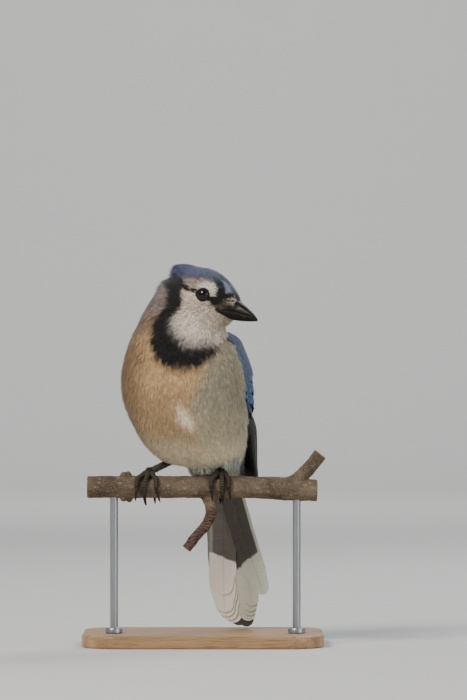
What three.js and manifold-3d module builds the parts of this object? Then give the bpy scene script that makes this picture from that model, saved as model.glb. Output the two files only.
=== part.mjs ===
// A life-size blue jay perched on a short cut length of branch, on a plain display stand.
// Millimetres, +Z up. The origin is the middle of the underside of the stand, and the breast looks to -Y.
import * as THREE from "three";
import { mergeVertices } from "three/addons/utils/BufferGeometryUtils.js";
import Module from "manifold-3d";

const wasm = await Module();
wasm.setup();

const V = (x, y, z) => new THREE.Vector3(x, y, z);
const RAD = Math.PI / 180;
const { clamp, lerp, smoothstep } = THREE.MathUtils;

// Driving dimensions

const GAP = 0.3; // left between two pieces that touch

// The stand: a flat base and two rods up to the perch.
const BASE_LENGTH = 152;
const BASE_DEPTH = 104;
const BASE_HEIGHT = 8;
const BASE_CORNER = 24;
const BASE_BEVEL = 1.2;
const ROD_RADIUS = 2.5;
const ROD_COLLAR_RADIUS = 5.5;
const ROD_COLLAR_HEIGHT = 3;
const ROD_PLACES = { stand_rod_left: -56, stand_rod_right: 59 };

// The perch: a branch that lies across, with the stub of a fork and a broken spur.
const PERCH_HEIGHT = 100; // the branch's axis above the floor
const PERCH_BACK = -16; // the branch's axis, in front of the middle of the base
const PERCH_RADIUS = 7;
const PERCH_ENDS = [-73, 72];
const PERCH_SAG = 2.2; // how far the right end droops

// The bird: where its body stands, how far it is turned, and how its head is set.
const BODY_TURN = 29 * RAD; // to its own right, from facing the front
const BODY_ORIGIN = V(-11.8, PERCH_BACK, PERCH_HEIGHT);
const HEAD_TURN = 52 * RAD; // to its own left, from facing the front
const HEAD_DIP = 10 * RAD;
const HEAD_CENTRE = V(2.5, PERCH_BACK - 5, PERCH_HEIGHT + 118);
const NECK_CUT = 99; // the height above the perch at which neck and torso part

const EYE_RADIUS = 4.7;
const EYE_PLACE = [6.6, 10.9, 3.9]; // forward, out to the side and up from the head's centre
const EYE_FORWARD = 20 * RAD; // how far the eye looks forward of straight to the side
const LID_RADIUS = 3.9;
const LID_THICKNESS = 0.75;

const BILL_TIP = 42; // forward of the head's centre
const BILL_ROOT = 19;
const TARSUS_RADIUS = 1.7;
const TOE_RADIUS = 1.55;

// A set of axes: forward, the bird's left, and up.
class Frame {
  constructor(origin, forward, up) {
    this.origin = origin;
    this.forward = forward.clone().normalize();
    this.left = up.clone().cross(this.forward).normalize();
    this.up = this.forward.clone().cross(this.left);
  }
  way(forward, left, up) {
    return V(0, 0, 0)
      .addScaledVector(this.forward, forward)
      .addScaledVector(this.left, left)
      .addScaledVector(this.up, up);
  }
  at(forward, left, up) {
    return this.way(forward, left, up).add(this.origin);
  }
}

const body = new Frame(
  BODY_ORIGIN,
  V(-Math.sin(BODY_TURN), -Math.cos(BODY_TURN), 0),
  V(0, 0, 1),
);
const head = new Frame(
  HEAD_CENTRE,
  V(
    Math.sin(HEAD_TURN) * Math.cos(HEAD_DIP),
    -Math.cos(HEAD_TURN) * Math.cos(HEAD_DIP),
    -Math.sin(HEAD_DIP),
  ),
  V(0, 0, 1),
);

// Repeatable chance, so that the model comes out the same each time.
let seed = 7;
function chance() {
  seed = (seed * 16807) % 2147483647;
  return seed / 2147483647;
}
const vary = (amount) => 1 + amount * (2 * chance() - 1);

// Solids: closed surfaces that can be joined and cut

// A geometry as a solid with its faces pointing out.
function solidOf(points, faces) {
  const bare = new THREE.BufferGeometry().setFromPoints(points);
  bare.setIndex(faces);
  const merged = mergeVertices(bare, 1e-4);
  const kept = [];
  for (let i = 0; i < merged.index.count; i += 3) {
    const [a, b, c] = [0, 1, 2].map((k) => merged.index.getX(i + k));
    if (a !== b && b !== c && c !== a) kept.push(a, b, c);
  }
  const vertProperties = new Float32Array(merged.attributes.position.array);
  const make = (triVerts) =>
    new wasm.Manifold(new wasm.Mesh({ numProp: 3, vertProperties, triVerts }));
  const triVerts = new Uint32Array(kept);
  const made = make(triVerts);
  return made.volume() < 0 ? make(triVerts.slice().reverse()) : made;
}

// A three.js geometry as a solid, moved by a matrix.
function solidFrom(geometry, matrix = new THREE.Matrix4()) {
  const places = geometry.attributes.position;
  const points = [];
  for (let i = 0; i < places.count; i++)
    points.push(new THREE.Vector3().fromBufferAttribute(places, i).applyMatrix4(matrix));
  const faces = geometry.index
    ? Array.from(geometry.index.array)
    : points.map((_, i) => i);
  return solidOf(points, faces);
}

// A closed surface through rings that all have the same count of points, with a fan over each end.
function closedRings(rings) {
  const count = rings[0].length;
  const points = rings.flat();
  const faces = [];
  for (let r = 0; r + 1 < rings.length; r++)
    for (let i = 0; i < count; i++) {
      const j = (i + 1) % count;
      const [a, b] = [r * count + i, r * count + j];
      faces.push(a, b, b + count, a, b + count, a + count);
    }
  for (const r of [0, rings.length - 1]) {
    const middle = V(0, 0, 0);
    rings[r].forEach((p) => middle.addScaledVector(p, 1 / count));
    points.push(middle);
    for (let i = 0; i < count; i++) {
      const [a, b] = [r * count + i, r * count + ((i + 1) % count)];
      faces.push(points.length - 1, r ? a : b, r ? b : a);
    }
  }
  return solidOf(points, faces);
}

// A thin plate between two grids of points, split into triangles alike on both faces.
function plate(top, bottom) {
  const [rows, columns] = [top.length, top[0].length];
  const points = [...top.flat(), ...bottom.flat()];
  const under = rows * columns;
  const faces = [];
  const quad = (a, b, c, d) => faces.push(a, b, c, a, c, d);
  for (let r = 0; r + 1 < rows; r++)
    for (let i = 0; i + 1 < columns; i++) {
      const a = r * columns + i;
      const [b, c, d] = [a + 1, a + 1 + columns, a + columns];
      quad(a, b, c, d);
      faces.push(under + a, under + c, under + b, under + a, under + d, under + c);
    }
  const wall = (a, b) => quad(b, a, under + a, under + b);
  for (let i = 0; i + 1 < columns; i++) {
    wall(i, i + 1);
    wall((rows - 1) * columns + i + 1, (rows - 1) * columns + i);
  }
  for (let r = 0; r + 1 < rows; r++) {
    wall((r + 1) * columns, r * columns);
    wall(r * columns + columns - 1, (r + 1) * columns + columns - 1);
  }
  return solidOf(points, faces);
}

const joined = (solids) => solids.reduce((a, b) => a.add(b));
const largest = (solid) =>
  solid.decompose().reduce((a, b) => (b.volume() > a.volume() ? b : a));

// A solid as a named mesh of one closed body.
function mesh(name, solid, finish) {
  const { numProp, vertProperties, triVerts } = largest(solid).getMesh();
  const places = new Float32Array((vertProperties.length / numProp) * 3);
  for (let i = 0; i * numProp < vertProperties.length; i++)
    places.set(vertProperties.subarray(i * numProp, i * numProp + 3), i * 3);
  const geometry = new THREE.BufferGeometry();
  geometry.setAttribute("position", new THREE.BufferAttribute(places, 3));
  geometry.setIndex(new THREE.BufferAttribute(new Uint32Array(triVerts), 1));
  geometry.computeVertexNormals();
  const made = new THREE.Mesh(geometry, finish);
  made.name = name;
  return made;
}

// A value that goes smoothly through a list of rows, at a share 0 to 1 of the way along them.
function along(rows, share, column) {
  const place = clamp(share, 0, 1) * (rows.length - 1);
  const i = Math.min(Math.floor(place), rows.length - 2);
  const t = place - i;
  const value = (k) => rows[clamp(k, 0, rows.length - 1)][column];
  const [before, a, b, after] = [value(i - 1), value(i), value(i + 1), value(i + 2)];
  const [t2, t3] = [t * t, t * t * t];
  return (
    a * (2 * t3 - 3 * t2 + 1) +
    ((b - before) / 2) * (t3 - 2 * t2 + t) +
    b * (3 * t2 - 2 * t3) +
    ((after - a) / 2) * (t3 - t2)
  );
}

// A tube of round section along a path, with its radius at each share of the way.
function tube(path, radius, steps, sides) {
  const curve = new THREE.CatmullRomCurve3(path, false, "centripetal");
  const frames = curve.computeFrenetFrames(steps, false);
  const rings = [];
  for (let s = 0; s <= steps; s++) {
    const centre = curve.getPointAt(s / steps);
    const ring = [];
    for (let i = 0; i < sides; i++) {
      const turn = (2 * Math.PI * i) / sides;
      ring.push(
        centre
          .clone()
          .addScaledVector(frames.normals[s], Math.cos(turn) * radius(s / steps))
          .addScaledVector(frames.binormals[s], Math.sin(turn) * radius(s / steps)),
      );
    }
    rings.push(ring);
  }
  return closedRings(rings);
}

// A ball or ellipsoid with its axes along a frame's.
function ellipsoid(frame, centre, radii, detail) {
  const matrix = new THREE.Matrix4()
    .makeBasis(frame.forward, frame.left, frame.up)
    .scale(V(...radii))
    .setPosition(centre);
  return solidFrom(new THREE.SphereGeometry(1, detail, Math.round(detail * 0.6)), matrix);
}

// A vane of a feather: a thin plate on a surface. place(share, across, height) gives its points,
// with share going from the root to the tip and across in millimetres from the shaft.
function vane(place, width, thickness, steps, tip = 0.35) {
  const [top, bottom] = [[], []];
  for (let k = 0; k <= steps; k++) {
    const share = 1 - (1 - k / steps) ** 1.8;
    const root = 0.55 + 0.45 * smoothstep(share, 0, 0.35);
    const end = Math.sqrt(Math.max(0, 1 - clamp((share - 1 + tip) / tip, 0, 1) ** 2));
    const half = (width / 2) * root * Math.max(end, 0.12);
    const thick = thickness * (share < 1 ? 1 : 0.45);
    top.push([-1, 1].map((side) => place(share, side * half, thick)));
    bottom.push([-1, 1].map((side) => place(share, side * half, 0)));
  }
  return plate(top, bottom);
}

// The torso

// The torso's sections from the tail coverts to the base of the neck. Each row is forward and up
// from the body's origin, the half width, the depth to the belly and to the back, and how far
// the section leans to the bird's left.
const TORSO = [
  [-46.5, -11, 13.5, 4, 4.5, 6],
  [-43, -1, 15, 8, 7, 5.6],
  [-38, 10, 18.5, 13, 10, 4.4],
  [-31, 20, 25.5, 21, 15, 3],
  [-22, 31, 34, 30, 20, 1.4],
  [-12, 46, 40, 38, 27, 0.6],
  [-6, 62, 41.5, 39, 31, 0],
  [-2, 78, 39.5, 36, 29, 0],
  [1, 91, 34, 31, 25, 0],
  [3, 102, 29, 27, 22, -0.5],
  [3, 111, 24.5, 22, 20, -0.5],
  [2, 119, 19, 17, 17, -1.5],
  [0, 126, 13, 12, 13, -2],
  [-1, 130, 6, 6, 6, -2],
];
const TORSO_SIDES = 28;
const TORSO_STEPS = 24;
const WING_POCKET = 3.6; // how far the side is hollowed for the folded wing

// A point on a wrap of sections round the body: a share of the way up, and an angle from the
// bird's left round to the belly, or to the back where it is negative.
function wrapPoint(rows, share, angle, grow = 0) {
  const step = 0.004;
  const [low, high] = [clamp(share - step, 0, 1), clamp(share + step, 0, 1)];
  const rise = new THREE.Vector2(
    along(rows, high, 0) - along(rows, low, 0),
    along(rows, high, 1) - along(rows, low, 1),
  ).normalize();
  if (rise.y < 0) rise.negate();
  const depth = along(rows, share, Math.sin(angle) > 0 ? 3 : 4) + grow;
  const out = Math.sin(angle) * depth;
  const across = Math.cos(angle) * (along(rows, share, 2) + grow);
  return body.at(
    along(rows, share, 0) + rise.y * out,
    across + along(rows, share, 5),
    along(rows, share, 1) - rise.x * out,
  );
}

function wingPocket(share, angle) {
  const turn = Math.sin(angle);
  const round = smoothstep(-turn, -0.3, 0) * (1 - smoothstep(-turn, 0.86, 1));
  return WING_POCKET * round * smoothstep(share, 0.1, 0.3) * (1 - smoothstep(share, 0.6, 0.72));
}

function torsoLoft(grow) {
  const rings = [];
  for (let s = 0; s <= TORSO_STEPS; s++) {
    const ring = [];
    for (let i = 0; i < TORSO_SIDES; i++) {
      const [share, angle] = [s / TORSO_STEPS, (2 * Math.PI * i) / TORSO_SIDES];
      ring.push(wrapPoint(TORSO, share, angle, grow - wingPocket(share, angle)));
    }
    rings.push(ring);
  }
  return closedRings(rings);
}

// The head

// The head's sections along its own axis. Each row is forward, the height of its middle, the half
// width, and how far it reaches up and down from there.
const HEAD = [
  [-21, 4.5, 7, 8.4, 9],
  [-17.5, 3.5, 12, 13.8, 15],
  [-10, 2.5, 15, 16.8, 18],
  [-1, 2, 15.8, 17.8, 18.5],
  [6, 1.5, 14.3, 16.8, 17.5],
  [12.5, 0.5, 12, 15, 15],
  [18.5, -0.8, 9.4, 12.3, 11.2],
  [23.5, -2.2, 6.8, 9.2, 7.4],
  [27, -3, 4.6, 5.6, 4.8],
];
const HEAD_SIDES = 26;
const HEAD_STEPS = 15;

// A point on the head: a share of the way forward, and an angle from its left up to the crown.
function headPoint(share, angle, grow = 0) {
  const reach = along(HEAD, share, Math.sin(angle) > 0 ? 3 : 4) + grow;
  return head.at(
    along(HEAD, share, 0),
    Math.cos(angle) * (along(HEAD, share, 2) + grow),
    along(HEAD, share, 1) + Math.sin(angle) * reach,
  );
}

function headLoft(grow) {
  const rings = [];
  for (let s = 0; s <= HEAD_STEPS; s++) {
    const ring = [];
    for (let i = 0; i < HEAD_SIDES; i++)
      ring.push(headPoint(s / HEAD_STEPS, (2 * Math.PI * i) / HEAD_SIDES, grow));
    rings.push(ring);
  }
  return closedRings(rings);
}

const eyeCentre = (side) => head.at(EYE_PLACE[0], side * EYE_PLACE[1], EYE_PLACE[2]);
const eyeFrame = (side) =>
  new Frame(
    eyeCentre(side),
    head.way(Math.sin(EYE_FORWARD), side * Math.cos(EYE_FORWARD), 0.06),
    head.up,
  );

// The lids: a ring round the part of the eye that shows.
function lids(side) {
  const eye = eyeFrame(side);
  const depth = Math.sqrt(EYE_RADIUS ** 2 - LID_RADIUS ** 2) + 0.25;
  const matrix = new THREE.Matrix4()
    .makeBasis(eye.left, eye.up, eye.forward)
    .setPosition(eye.at(depth, 0, 0));
  return solidFrom(new THREE.TorusGeometry(LID_RADIUS + 0.35, LID_THICKNESS, 5, 16), matrix);
}

// The crest lies back over the crown in rows. Each row is the share of the head where it is
// rooted, its count of feathers, how far apart they spread, their length and how far they lift.
const CREST_ROWS = [
  [0.76, 3, 0.4, 14, 1.8],
  [0.54, 3, 0.46, 17, 2],
  [0.3, 4, 0.34, 17.5, 3],
];
const CREST_WIDTH = 8.5;

function crest() {
  const feathers = [];
  CREST_ROWS.forEach(([share, count, spread, length, lift], row) => {
    for (let i = 0; i < count; i++) {
      const turn = Math.PI / 2 + (i - (count - 1) / 2) * spread;
      const root = headPoint(share, turn, -1.6);
      const shift = (length * vary(0.08)) / 48;
      const near = headPoint(share - shift * 0.45, turn, 0.7);
      const far = headPoint(Math.max(share - shift, 0), turn, lift);
      const back = head.way(-length * vary(0.08), 0, -1.5).addScaledVector(head.left, 1.4 - 0.9 * i);
      const tip = row + 1 < CREST_ROWS.length ? far : root.clone().add(back);
      const path = new THREE.CatmullRomCurve3([root, near, tip]);
      const out = head.way(0, Math.cos(turn), Math.sin(turn));
      const place = (s, across, height) => {
        const side = path.getTangent(s).cross(out).normalize();
        return path.getPoint(s).addScaledVector(side, across).addScaledVector(out, height);
      };
      feathers.push(vane(place, CREST_WIDTH * vary(0.1), 0.7, 3, 0.7));
    }
  });
  return joined(feathers);
}

// The bill

// The bill's sections: forward, top, mouth line, bottom and half width.
const BILL = [
  [BILL_ROOT, 3.2, -3.3, -8.6, 5.6],
  [24.5, 3.4, -3.4, -8.9, 5],
  [29.5, 1.6, -3.6, -8.5, 3.9],
  [34.5, -0.7, -3.9, -7.9, 2.8],
  [38.5, -3.1, -4.7, -7.2, 1.6],
  [BILL_TIP, -5.5, -5.9, -6.4, 0.35],
];
const BILL_SIDES = 7;
const BILL_STEPS = 12;
const NOSTRIL_PLACE = [27.4, 3.6, -0.4];
const NOSTRIL_RADII = [1.5, 0.9, 0.8];

// One half of the bill, arched up or down from the line of the mouth.
function billHalf(upper) {
  const rings = [];
  const sign = upper ? 1 : -1;
  for (let s = 0; s <= BILL_STEPS; s++) {
    const share = (s / BILL_STEPS) * (upper ? 1 : 0.965);
    const mouth = along(BILL, share, 2) + (sign * GAP) / 2;
    const reach = Math.max(Math.abs(along(BILL, share, upper ? 1 : 3) - mouth), 0.15);
    const ring = [];
    for (let i = 0; i <= BILL_SIDES; i++) {
      const angle = (Math.PI * i) / BILL_SIDES;
      const across = Math.cos(angle) * along(BILL, share, 4);
      const rise = sign * Math.sin(angle) ** 0.85 * reach;
      ring.push(head.at(along(BILL, share, 0), across, mouth + rise));
    }
    rings.push(ring);
  }
  return closedRings(rings);
}

function nostril(side) {
  const [forward, out, up] = NOSTRIL_PLACE;
  return ellipsoid(head, head.at(forward, side * out, up), NOSTRIL_RADII, 10);
}

// The wings, folded

// The wrap on which the folded wings lie, from the shoulder to the wing tip: the torso's columns,
// then the angles of the wing's front edge and back edge.
const WING = [
  [0, 88, 36.5, 34, 30.5, 0, 4, -70],
  [-3, 75, 40.5, 36, 33.5, 0, 5, -70],
  [-7, 60, 42.3, 38, 34.5, 0, 3, -69],
  [-12, 45, 40.5, 38, 32.5, 0.6, 0, -69],
  [-19, 30, 37, 34, 28.5, 1.6, -3, -69],
  [-27, 16, 32.5, 28, 23, 3.4, -6, -70],
  [-34.5, 3, 28, 21, 17.5, 5, -12, -73],
  [-42.5, -9, 15, 14, 13, 6, -38, -80],
  [-47.5, -21, 11, 10, 10.5, 6, -48, -76],
  [-51.5, -33, 8.5, 8, 9.5, 6, -56, -70],
];

// A point on a folded wing: a share of the way from shoulder to tip, a share across from its front
// edge to its back edge, and a height over its surface.
function wingPoint(side, share, across, height) {
  const angle = lerp(along(WING, share, 6), along(WING, share, 7), across) * RAD;
  return wrapPoint(WING, share, side > 0 ? angle : Math.PI - angle, height);
}

// The tiers of a wing, from the lowest layer out. Each has its count of feathers, the share along
// and across the wing of the roots and of the tips for the first and last feather, how much
// further its middle tips reach, the height of the first and last tip, and the width of a feather.
// The primaries lie stacked flat, and the others rise from the flesh like roof tiles.
const TIERS = {
  primaries: {
    count: 6, root: [[0.36, 0.12], [0.42, 0.5]], tip: [[0.84, 0.14], [0.88, 0.8]],
    reach: 0.14, height: [-7, -2.7], width: [8.5, 10.5], steps: 5, end: 0.3, stacked: true,
  },
  secondaries: {
    count: 5, root: [[0.3, 0.2], [0.34, 0.84]], tip: [[0.7, 0.26], [0.58, 0.91]],
    reach: 0.02, height: [-1.4, -1.2], width: [13, 15.5], steps: 4, end: 0.35,
  },
  greaterCoverts: {
    count: 5, root: [[0.22, 0.16], [0.26, 0.78]], tip: [[0.45, 0.1], [0.43, 0.79]],
    reach: 0, height: [-0.7, -0.6], width: [12, 13.5], steps: 3, end: 0.5,
  },
  medianCoverts: {
    count: 5, root: [[0.13, 0.14], [0.17, 0.74]], tip: [[0.33, 0.1], [0.32, 0.75]],
    reach: 0, height: [-0.4, -0.3], width: [12.5, 12.5], steps: 3, end: 0.5,
  },
  lesserCoverts: {
    count: 4, root: [[0.03, 0.17], [0.06, 0.66]], tip: [[0.22, 0.12], [0.21, 0.66]],
    reach: 0, height: [-0.3, -0.2], width: [14, 14], steps: 3, end: 0.5,
  },
  scapulars: {
    count: 3, root: [[0.06, 0.82], [0.27, 0.96]], tip: [[0.29, 0.87], [0.52, 0.98]],
    reach: 0, height: [0, 0], width: [14, 12], steps: 3, end: 0.5,
  },
};
const WING_VANE = 0.52;
const VANE_ROLL = 0.2; // each vane's inner edge lies over the next one
const TIP_LIFT = 4.8; // the wing tips pass over the root of the tail
const VANE_ROOT = -4.7; // the height of a root, sunk in the flesh
const WING_CORE = { from: 0.02, to: 0.48, front: 0.05, back: 0.93, top: -3.2, bottom: -7 };
const CORE_ROWS = 7;
const CORE_COLUMNS = 4;

// The flesh and shafts that the feathers of a wing are rooted in.
function wingCore(side) {
  const { from, to, front, back, top, bottom } = WING_CORE;
  const grid = (height) =>
    Array.from({ length: CORE_ROWS }, (_, r) =>
      Array.from({ length: CORE_COLUMNS }, (_, i) => {
        const share = lerp(from, to, r / (CORE_ROWS - 1));
        return wingPoint(side, share, lerp(front, back, i / (CORE_COLUMNS - 1)), height);
      }),
    );
  return plate(grid(top), grid(bottom));
}

function tier(side, { count, root, tip, reach, height, width, steps, end, stacked }) {
  const feathers = [];
  for (let i = 0; i < count; i++) {
    const t = i / (count - 1);
    const at = (ends, k) => lerp(ends[0][k], ends[1][k], t);
    const [rootAlong, rootAcross] = [at(root, 0), at(root, 1)];
    const bulge = reach * Math.sin(Math.PI * Math.min(1, t * 1.1 + 0.12));
    const tipAlong = Math.min(at(tip, 0) + bulge, 1) * vary(0.012);
    const tipAcross = at(tip, 1);
    const top = lerp(height[0], height[1], t);
    const rise = (share) => lerp(VANE_ROOT, top, smoothstep(share, 0, 0.75) ** 0.8);
    const place = (share, across, high) => {
      const [s, u] = [lerp(rootAlong, tipAlong, share), lerp(rootAcross, tipAcross, share)];
      const girth = wingPoint(side, s, 0, 0).distanceTo(wingPoint(side, s, 1, 0));
      const flat = top + TIP_LIFT * smoothstep(s, 0.6, 0.82);
      const level = stacked ? flat : rise(share) + VANE_ROLL * across * smoothstep(share, 0, 0.4);
      return wingPoint(side, s, u + across / Math.max(girth, 12), level + high);
    };
    feathers.push(vane(place, lerp(width[0], width[1], t) * vary(0.06), WING_VANE, steps, end));
  }
  return joined(feathers);
}

const wing = (side) =>
  joined([wingCore(side), ...Object.values(TIERS).map((each) => tier(side, each))]);

// The tail

const TAIL_ROOT = [-36, 6, 22]; // forward, left and up from the body's origin
const TAIL_DROOP = 12 * RAD; // from straight down, to the back
const TAIL_FEATHERS = [111, 110.5, 109.5, 107.5, 104, 93]; // lengths from the middle pair outward
const TAIL_FEATHER_WIDTH = 17;
const TAIL_FAN = { 1: 11 * RAD, "-1": 5 * RAD }; // the outermost feather's angle on each side
const TAIL_LAYER = 0.8;
const TAIL_VANE = 1.1;
const TAIL_ARCH = 0.006; // how much the spread tail is bowed across

// A point on the tail: along it, out to the bird's left and towards its upper side.
function tailPoint(down, left, over) {
  const bow = over - TAIL_ARCH * left * left;
  const [forward, aside, up] = TAIL_ROOT;
  return body.at(
    forward - down * Math.sin(TAIL_DROOP) - bow * Math.cos(TAIL_DROOP),
    aside + left,
    up - down * Math.cos(TAIL_DROOP) + bow * Math.sin(TAIL_DROOP),
  );
}

function tail() {
  const feathers = [];
  for (const side of [1, -1])
    TAIL_FEATHERS.forEach((full, pair) => {
      const length = full * vary(0.006);
      const turn = (side * TAIL_FAN[side] * (pair + 0.35)) / (TAIL_FEATHERS.length - 0.65);
      const layer = (TAIL_FEATHERS.length - pair) * TAIL_LAYER + (side > 0 ? 0 : TAIL_LAYER / 2);
      const root = side * (0.9 + 0.55 * pair);
      const place = (share, across, high) => {
        const [sin, cos] = [Math.sin(turn), Math.cos(turn)];
        const down = share * length;
        return tailPoint(down * cos - across * sin, root + down * sin + across * cos, layer + high);
      };
      feathers.push(vane(place, TAIL_FEATHER_WIDTH * vary(0.04), TAIL_VANE, 6, 0.16));
    });
  return joined(feathers);
}

// The legs

const PERCH_AXIS = V(0, PERCH_BACK, PERCH_HEIGHT);
const HEEL_HEIGHT = 17; // above the perch's axis

// A point round the branch: along it, an angle from its back over its top to the front, and a
// distance from its bark.
function gripPoint(x, angle, over) {
  const radius = PERCH_RADIUS + over;
  return V(
    x,
    PERCH_AXIS.y + Math.cos(angle * RAD) * radius,
    PERCH_AXIS.z + Math.sin(angle * RAD) * radius,
  );
}

// Each foot: where it sits along the perch, its heel, and its toes. A toe has its place along the
// perch at its base and end, the angle round the perch at its end, and the claw's lean and length.
const FEET = {
  leg_right: {
    x: -33.5,
    heel: V(-17.5, PERCH_BACK + 25, PERCH_HEIGHT + HEEL_HEIGHT),
    knee: V(-15, PERCH_BACK + 13, PERCH_HEIGHT + 38),
    toes: [
      { base: -36, end: -41.6, turn: 186, lean: -0.6, claw: 8 },
      { base: -34.5, end: -36.8, turn: 214, lean: 0.8, claw: 9 },
      { base: -32.5, end: -29.3, turn: 192, lean: 1.6, claw: 8 },
      { base: -33, end: -31, turn: -14, lean: 0.6, claw: 9.5 },
    ],
  },
  leg_left: {
    x: 11.6,
    heel: V(12.5, PERCH_BACK + 28, PERCH_HEIGHT + HEEL_HEIGHT + 1),
    knee: V(13, PERCH_BACK + 15, PERCH_HEIGHT + 38),
    toes: [
      { base: 13.6, end: 16.3, turn: 190, lean: 1, claw: 8 },
      { base: 11.8, end: 12.2, turn: 214, lean: 0.3, claw: 9 },
      { base: 9.6, end: 5.2, turn: 186, lean: 0.6, claw: 8 },
      { base: 11.4, end: 10.6, turn: -14, lean: 0.2, claw: 9.5 },
    ],
  },
};
const TOE_START = 94; // the angle on top of the perch where the toes meet
const TOE_OVER = TOE_RADIUS + 0.25;

function toe(foot, { base, end, turn }) {
  const back = turn < TOE_START;
  const path = [];
  for (let k = 0; k <= 4; k++) {
    const share = k / 4;
    const angle = lerp(TOE_START + (back ? -6 : 6), turn, share);
    const x = lerp(base, end, smoothstep(share, 0, 0.7));
    path.push(gripPoint(x, angle, TOE_OVER + 0.5 * (1 - share)));
  }
  path.unshift(gripPoint(lerp(foot.x, base, 0.3), TOE_START, TOE_OVER + 1.6));
  const knuckles = (s) => TOE_RADIUS * (1.02 - 0.24 * s + 0.1 * Math.cos(s * Math.PI * 6));
  return tube(path, knuckles, 9, 6);
}

function claw({ end, turn, lean, claw: length }) {
  const onward = turn < TOE_START ? -1 : 1;
  const start = gripPoint(end, turn + onward * 5, TOE_OVER);
  const path = [0, 0.35, 0.7, 1].map((share) => {
    const down = length * share;
    const swing = (turn + onward * (5 + (60 * down) / length)) * RAD;
    const radius = PERCH_RADIUS + TOE_OVER + 1.2 * Math.sin(share * Math.PI) + 1.4 * share;
    return V(
      end + lean * share * 1.6,
      PERCH_AXIS.y + Math.cos(swing) * radius,
      PERCH_AXIS.z + Math.sin(swing) * radius - 0.12 * down * share,
    );
  });
  path[0] = start;
  return tube(path, (s) => 1.15 * (1 - s) ** 0.8 + 0.12, 5, 6);
}

// A whole leg: the shank, with its scutes as low steps, the feathered thigh and the toes.
function leg({ x, heel, knee, toes }) {
  const foot = gripPoint(x, TOE_START, TOE_OVER + 1.2);
  const scutes = (s) => {
    const step = (s * 7) % 1;
    return TARSUS_RADIUS * (1.12 - 0.1 * step + 0.22 * (1 - Math.min(1, s * 6)));
  };
  const lower = tube([heel, heel.clone().lerp(foot, 0.5), foot], scutes, 21, 7);
  const thigh = tube([knee, knee.clone().lerp(heel, 0.6), heel], (s) => 8 - 5.6 * s, 6, 10);
  const pad = ellipsoid(body, foot, [3, 2.8, 2.2], 10);
  return joined([lower, thigh, pad, ...toes.map((each) => toe({ x }, each))]);
}

// The perch

const perchPoint = (x) => V(x, PERCH_BACK, PERCH_HEIGHT - PERCH_SAG * smoothstep(x, 20, 80));

function branch(grow) {
  const path = Array.from({ length: 8 }, (_, i) => perchPoint(lerp(...PERCH_ENDS, i / 7)));
  return tube(path, () => PERCH_RADIUS + grow, 9, 14);
}

// A side stub of the branch, from a point on its axis out to a cut or broken end.
const stub = (path, radii) =>
  tube(path, (s) => lerp(radii[0], radii[1], smoothstep(s, 0, 0.5)), 6, 8);

// Places on the perch: along it, towards the front, and up from its axis.
const onPerch = (places) => places.map(([x, front, up]) => V(x, PERCH_BACK - front, PERCH_HEIGHT + up));
const FORK = onPerch([[46, 0, -1], [56, 0, 2.5], [66, 1, 11], [74, 2, 21]]);
const FORK_RADII = [6, 4.4];
const SPUR = onPerch([[1, 0, -1], [5.2, 0, -13], [2.6, 1, -23], [-4.4, 2, -31], [-10.4, 3, -39]]);
const SPUR_RADII = [4.6, 3.1];
const BUDS = onPerch([[-50, 2, 7.6], [-47.2, 0, 7.9], [-50, 2, -7.2], [-46.6, 0, -7.6]]);
const BUD_RADII = [2.2, 2.2, 2.6];

function perch() {
  const buds = BUDS.map((place) => ellipsoid(body, place, BUD_RADII, 6));
  return joined([branch(0), stub(FORK, FORK_RADII), stub(SPUR, SPUR_RADII), ...buds]);
}

// The stand

function standBase() {
  const [x, y, r] = [BASE_LENGTH / 2, BASE_DEPTH / 2, BASE_CORNER].map((each) => each - BASE_BEVEL);
  const outline = new THREE.Shape();
  outline.absarc(x - r, y - r, r, 0, Math.PI / 2);
  outline.absarc(r - x, y - r, r, Math.PI / 2, Math.PI);
  outline.absarc(r - x, r - y, r, Math.PI, 1.5 * Math.PI);
  outline.absarc(x - r, r - y, r, 1.5 * Math.PI, 2 * Math.PI);
  const geometry = new THREE.ExtrudeGeometry(outline, {
    depth: BASE_HEIGHT - 2 * BASE_BEVEL,
    bevelThickness: BASE_BEVEL,
    bevelSize: BASE_BEVEL,
    bevelSegments: 1,
    curveSegments: 6,
  });
  return solidFrom(geometry, new THREE.Matrix4().makeTranslation(0, 0, BASE_BEVEL));
}

function standRod(x) {
  const foot = BASE_HEIGHT + GAP;
  const profile = [
    [0, foot],
    [ROD_COLLAR_RADIUS, foot],
    [ROD_COLLAR_RADIUS, foot + ROD_COLLAR_HEIGHT - 0.8],
    [ROD_COLLAR_RADIUS - 0.8, foot + ROD_COLLAR_HEIGHT],
    [ROD_RADIUS, foot + ROD_COLLAR_HEIGHT],
    [ROD_RADIUS, PERCH_HEIGHT],
    [0, PERCH_HEIGHT],
  ].map(([radius, height]) => new THREE.Vector2(radius, height));
  const turn = new THREE.Matrix4().makeRotationX(Math.PI / 2).setPosition(x, PERCH_BACK, 0);
  return solidFrom(new THREE.LatheGeometry(profile, 16), turn);
}

// A large box beyond a level, to cut with.
function beyond(height, sign) {
  const size = 400;
  const matrix = new THREE.Matrix4().makeTranslation(0, 0, height + (sign * size) / 2);
  return solidFrom(new THREE.BoxGeometry(size, size, size), matrix);
}

// Finishes

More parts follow.
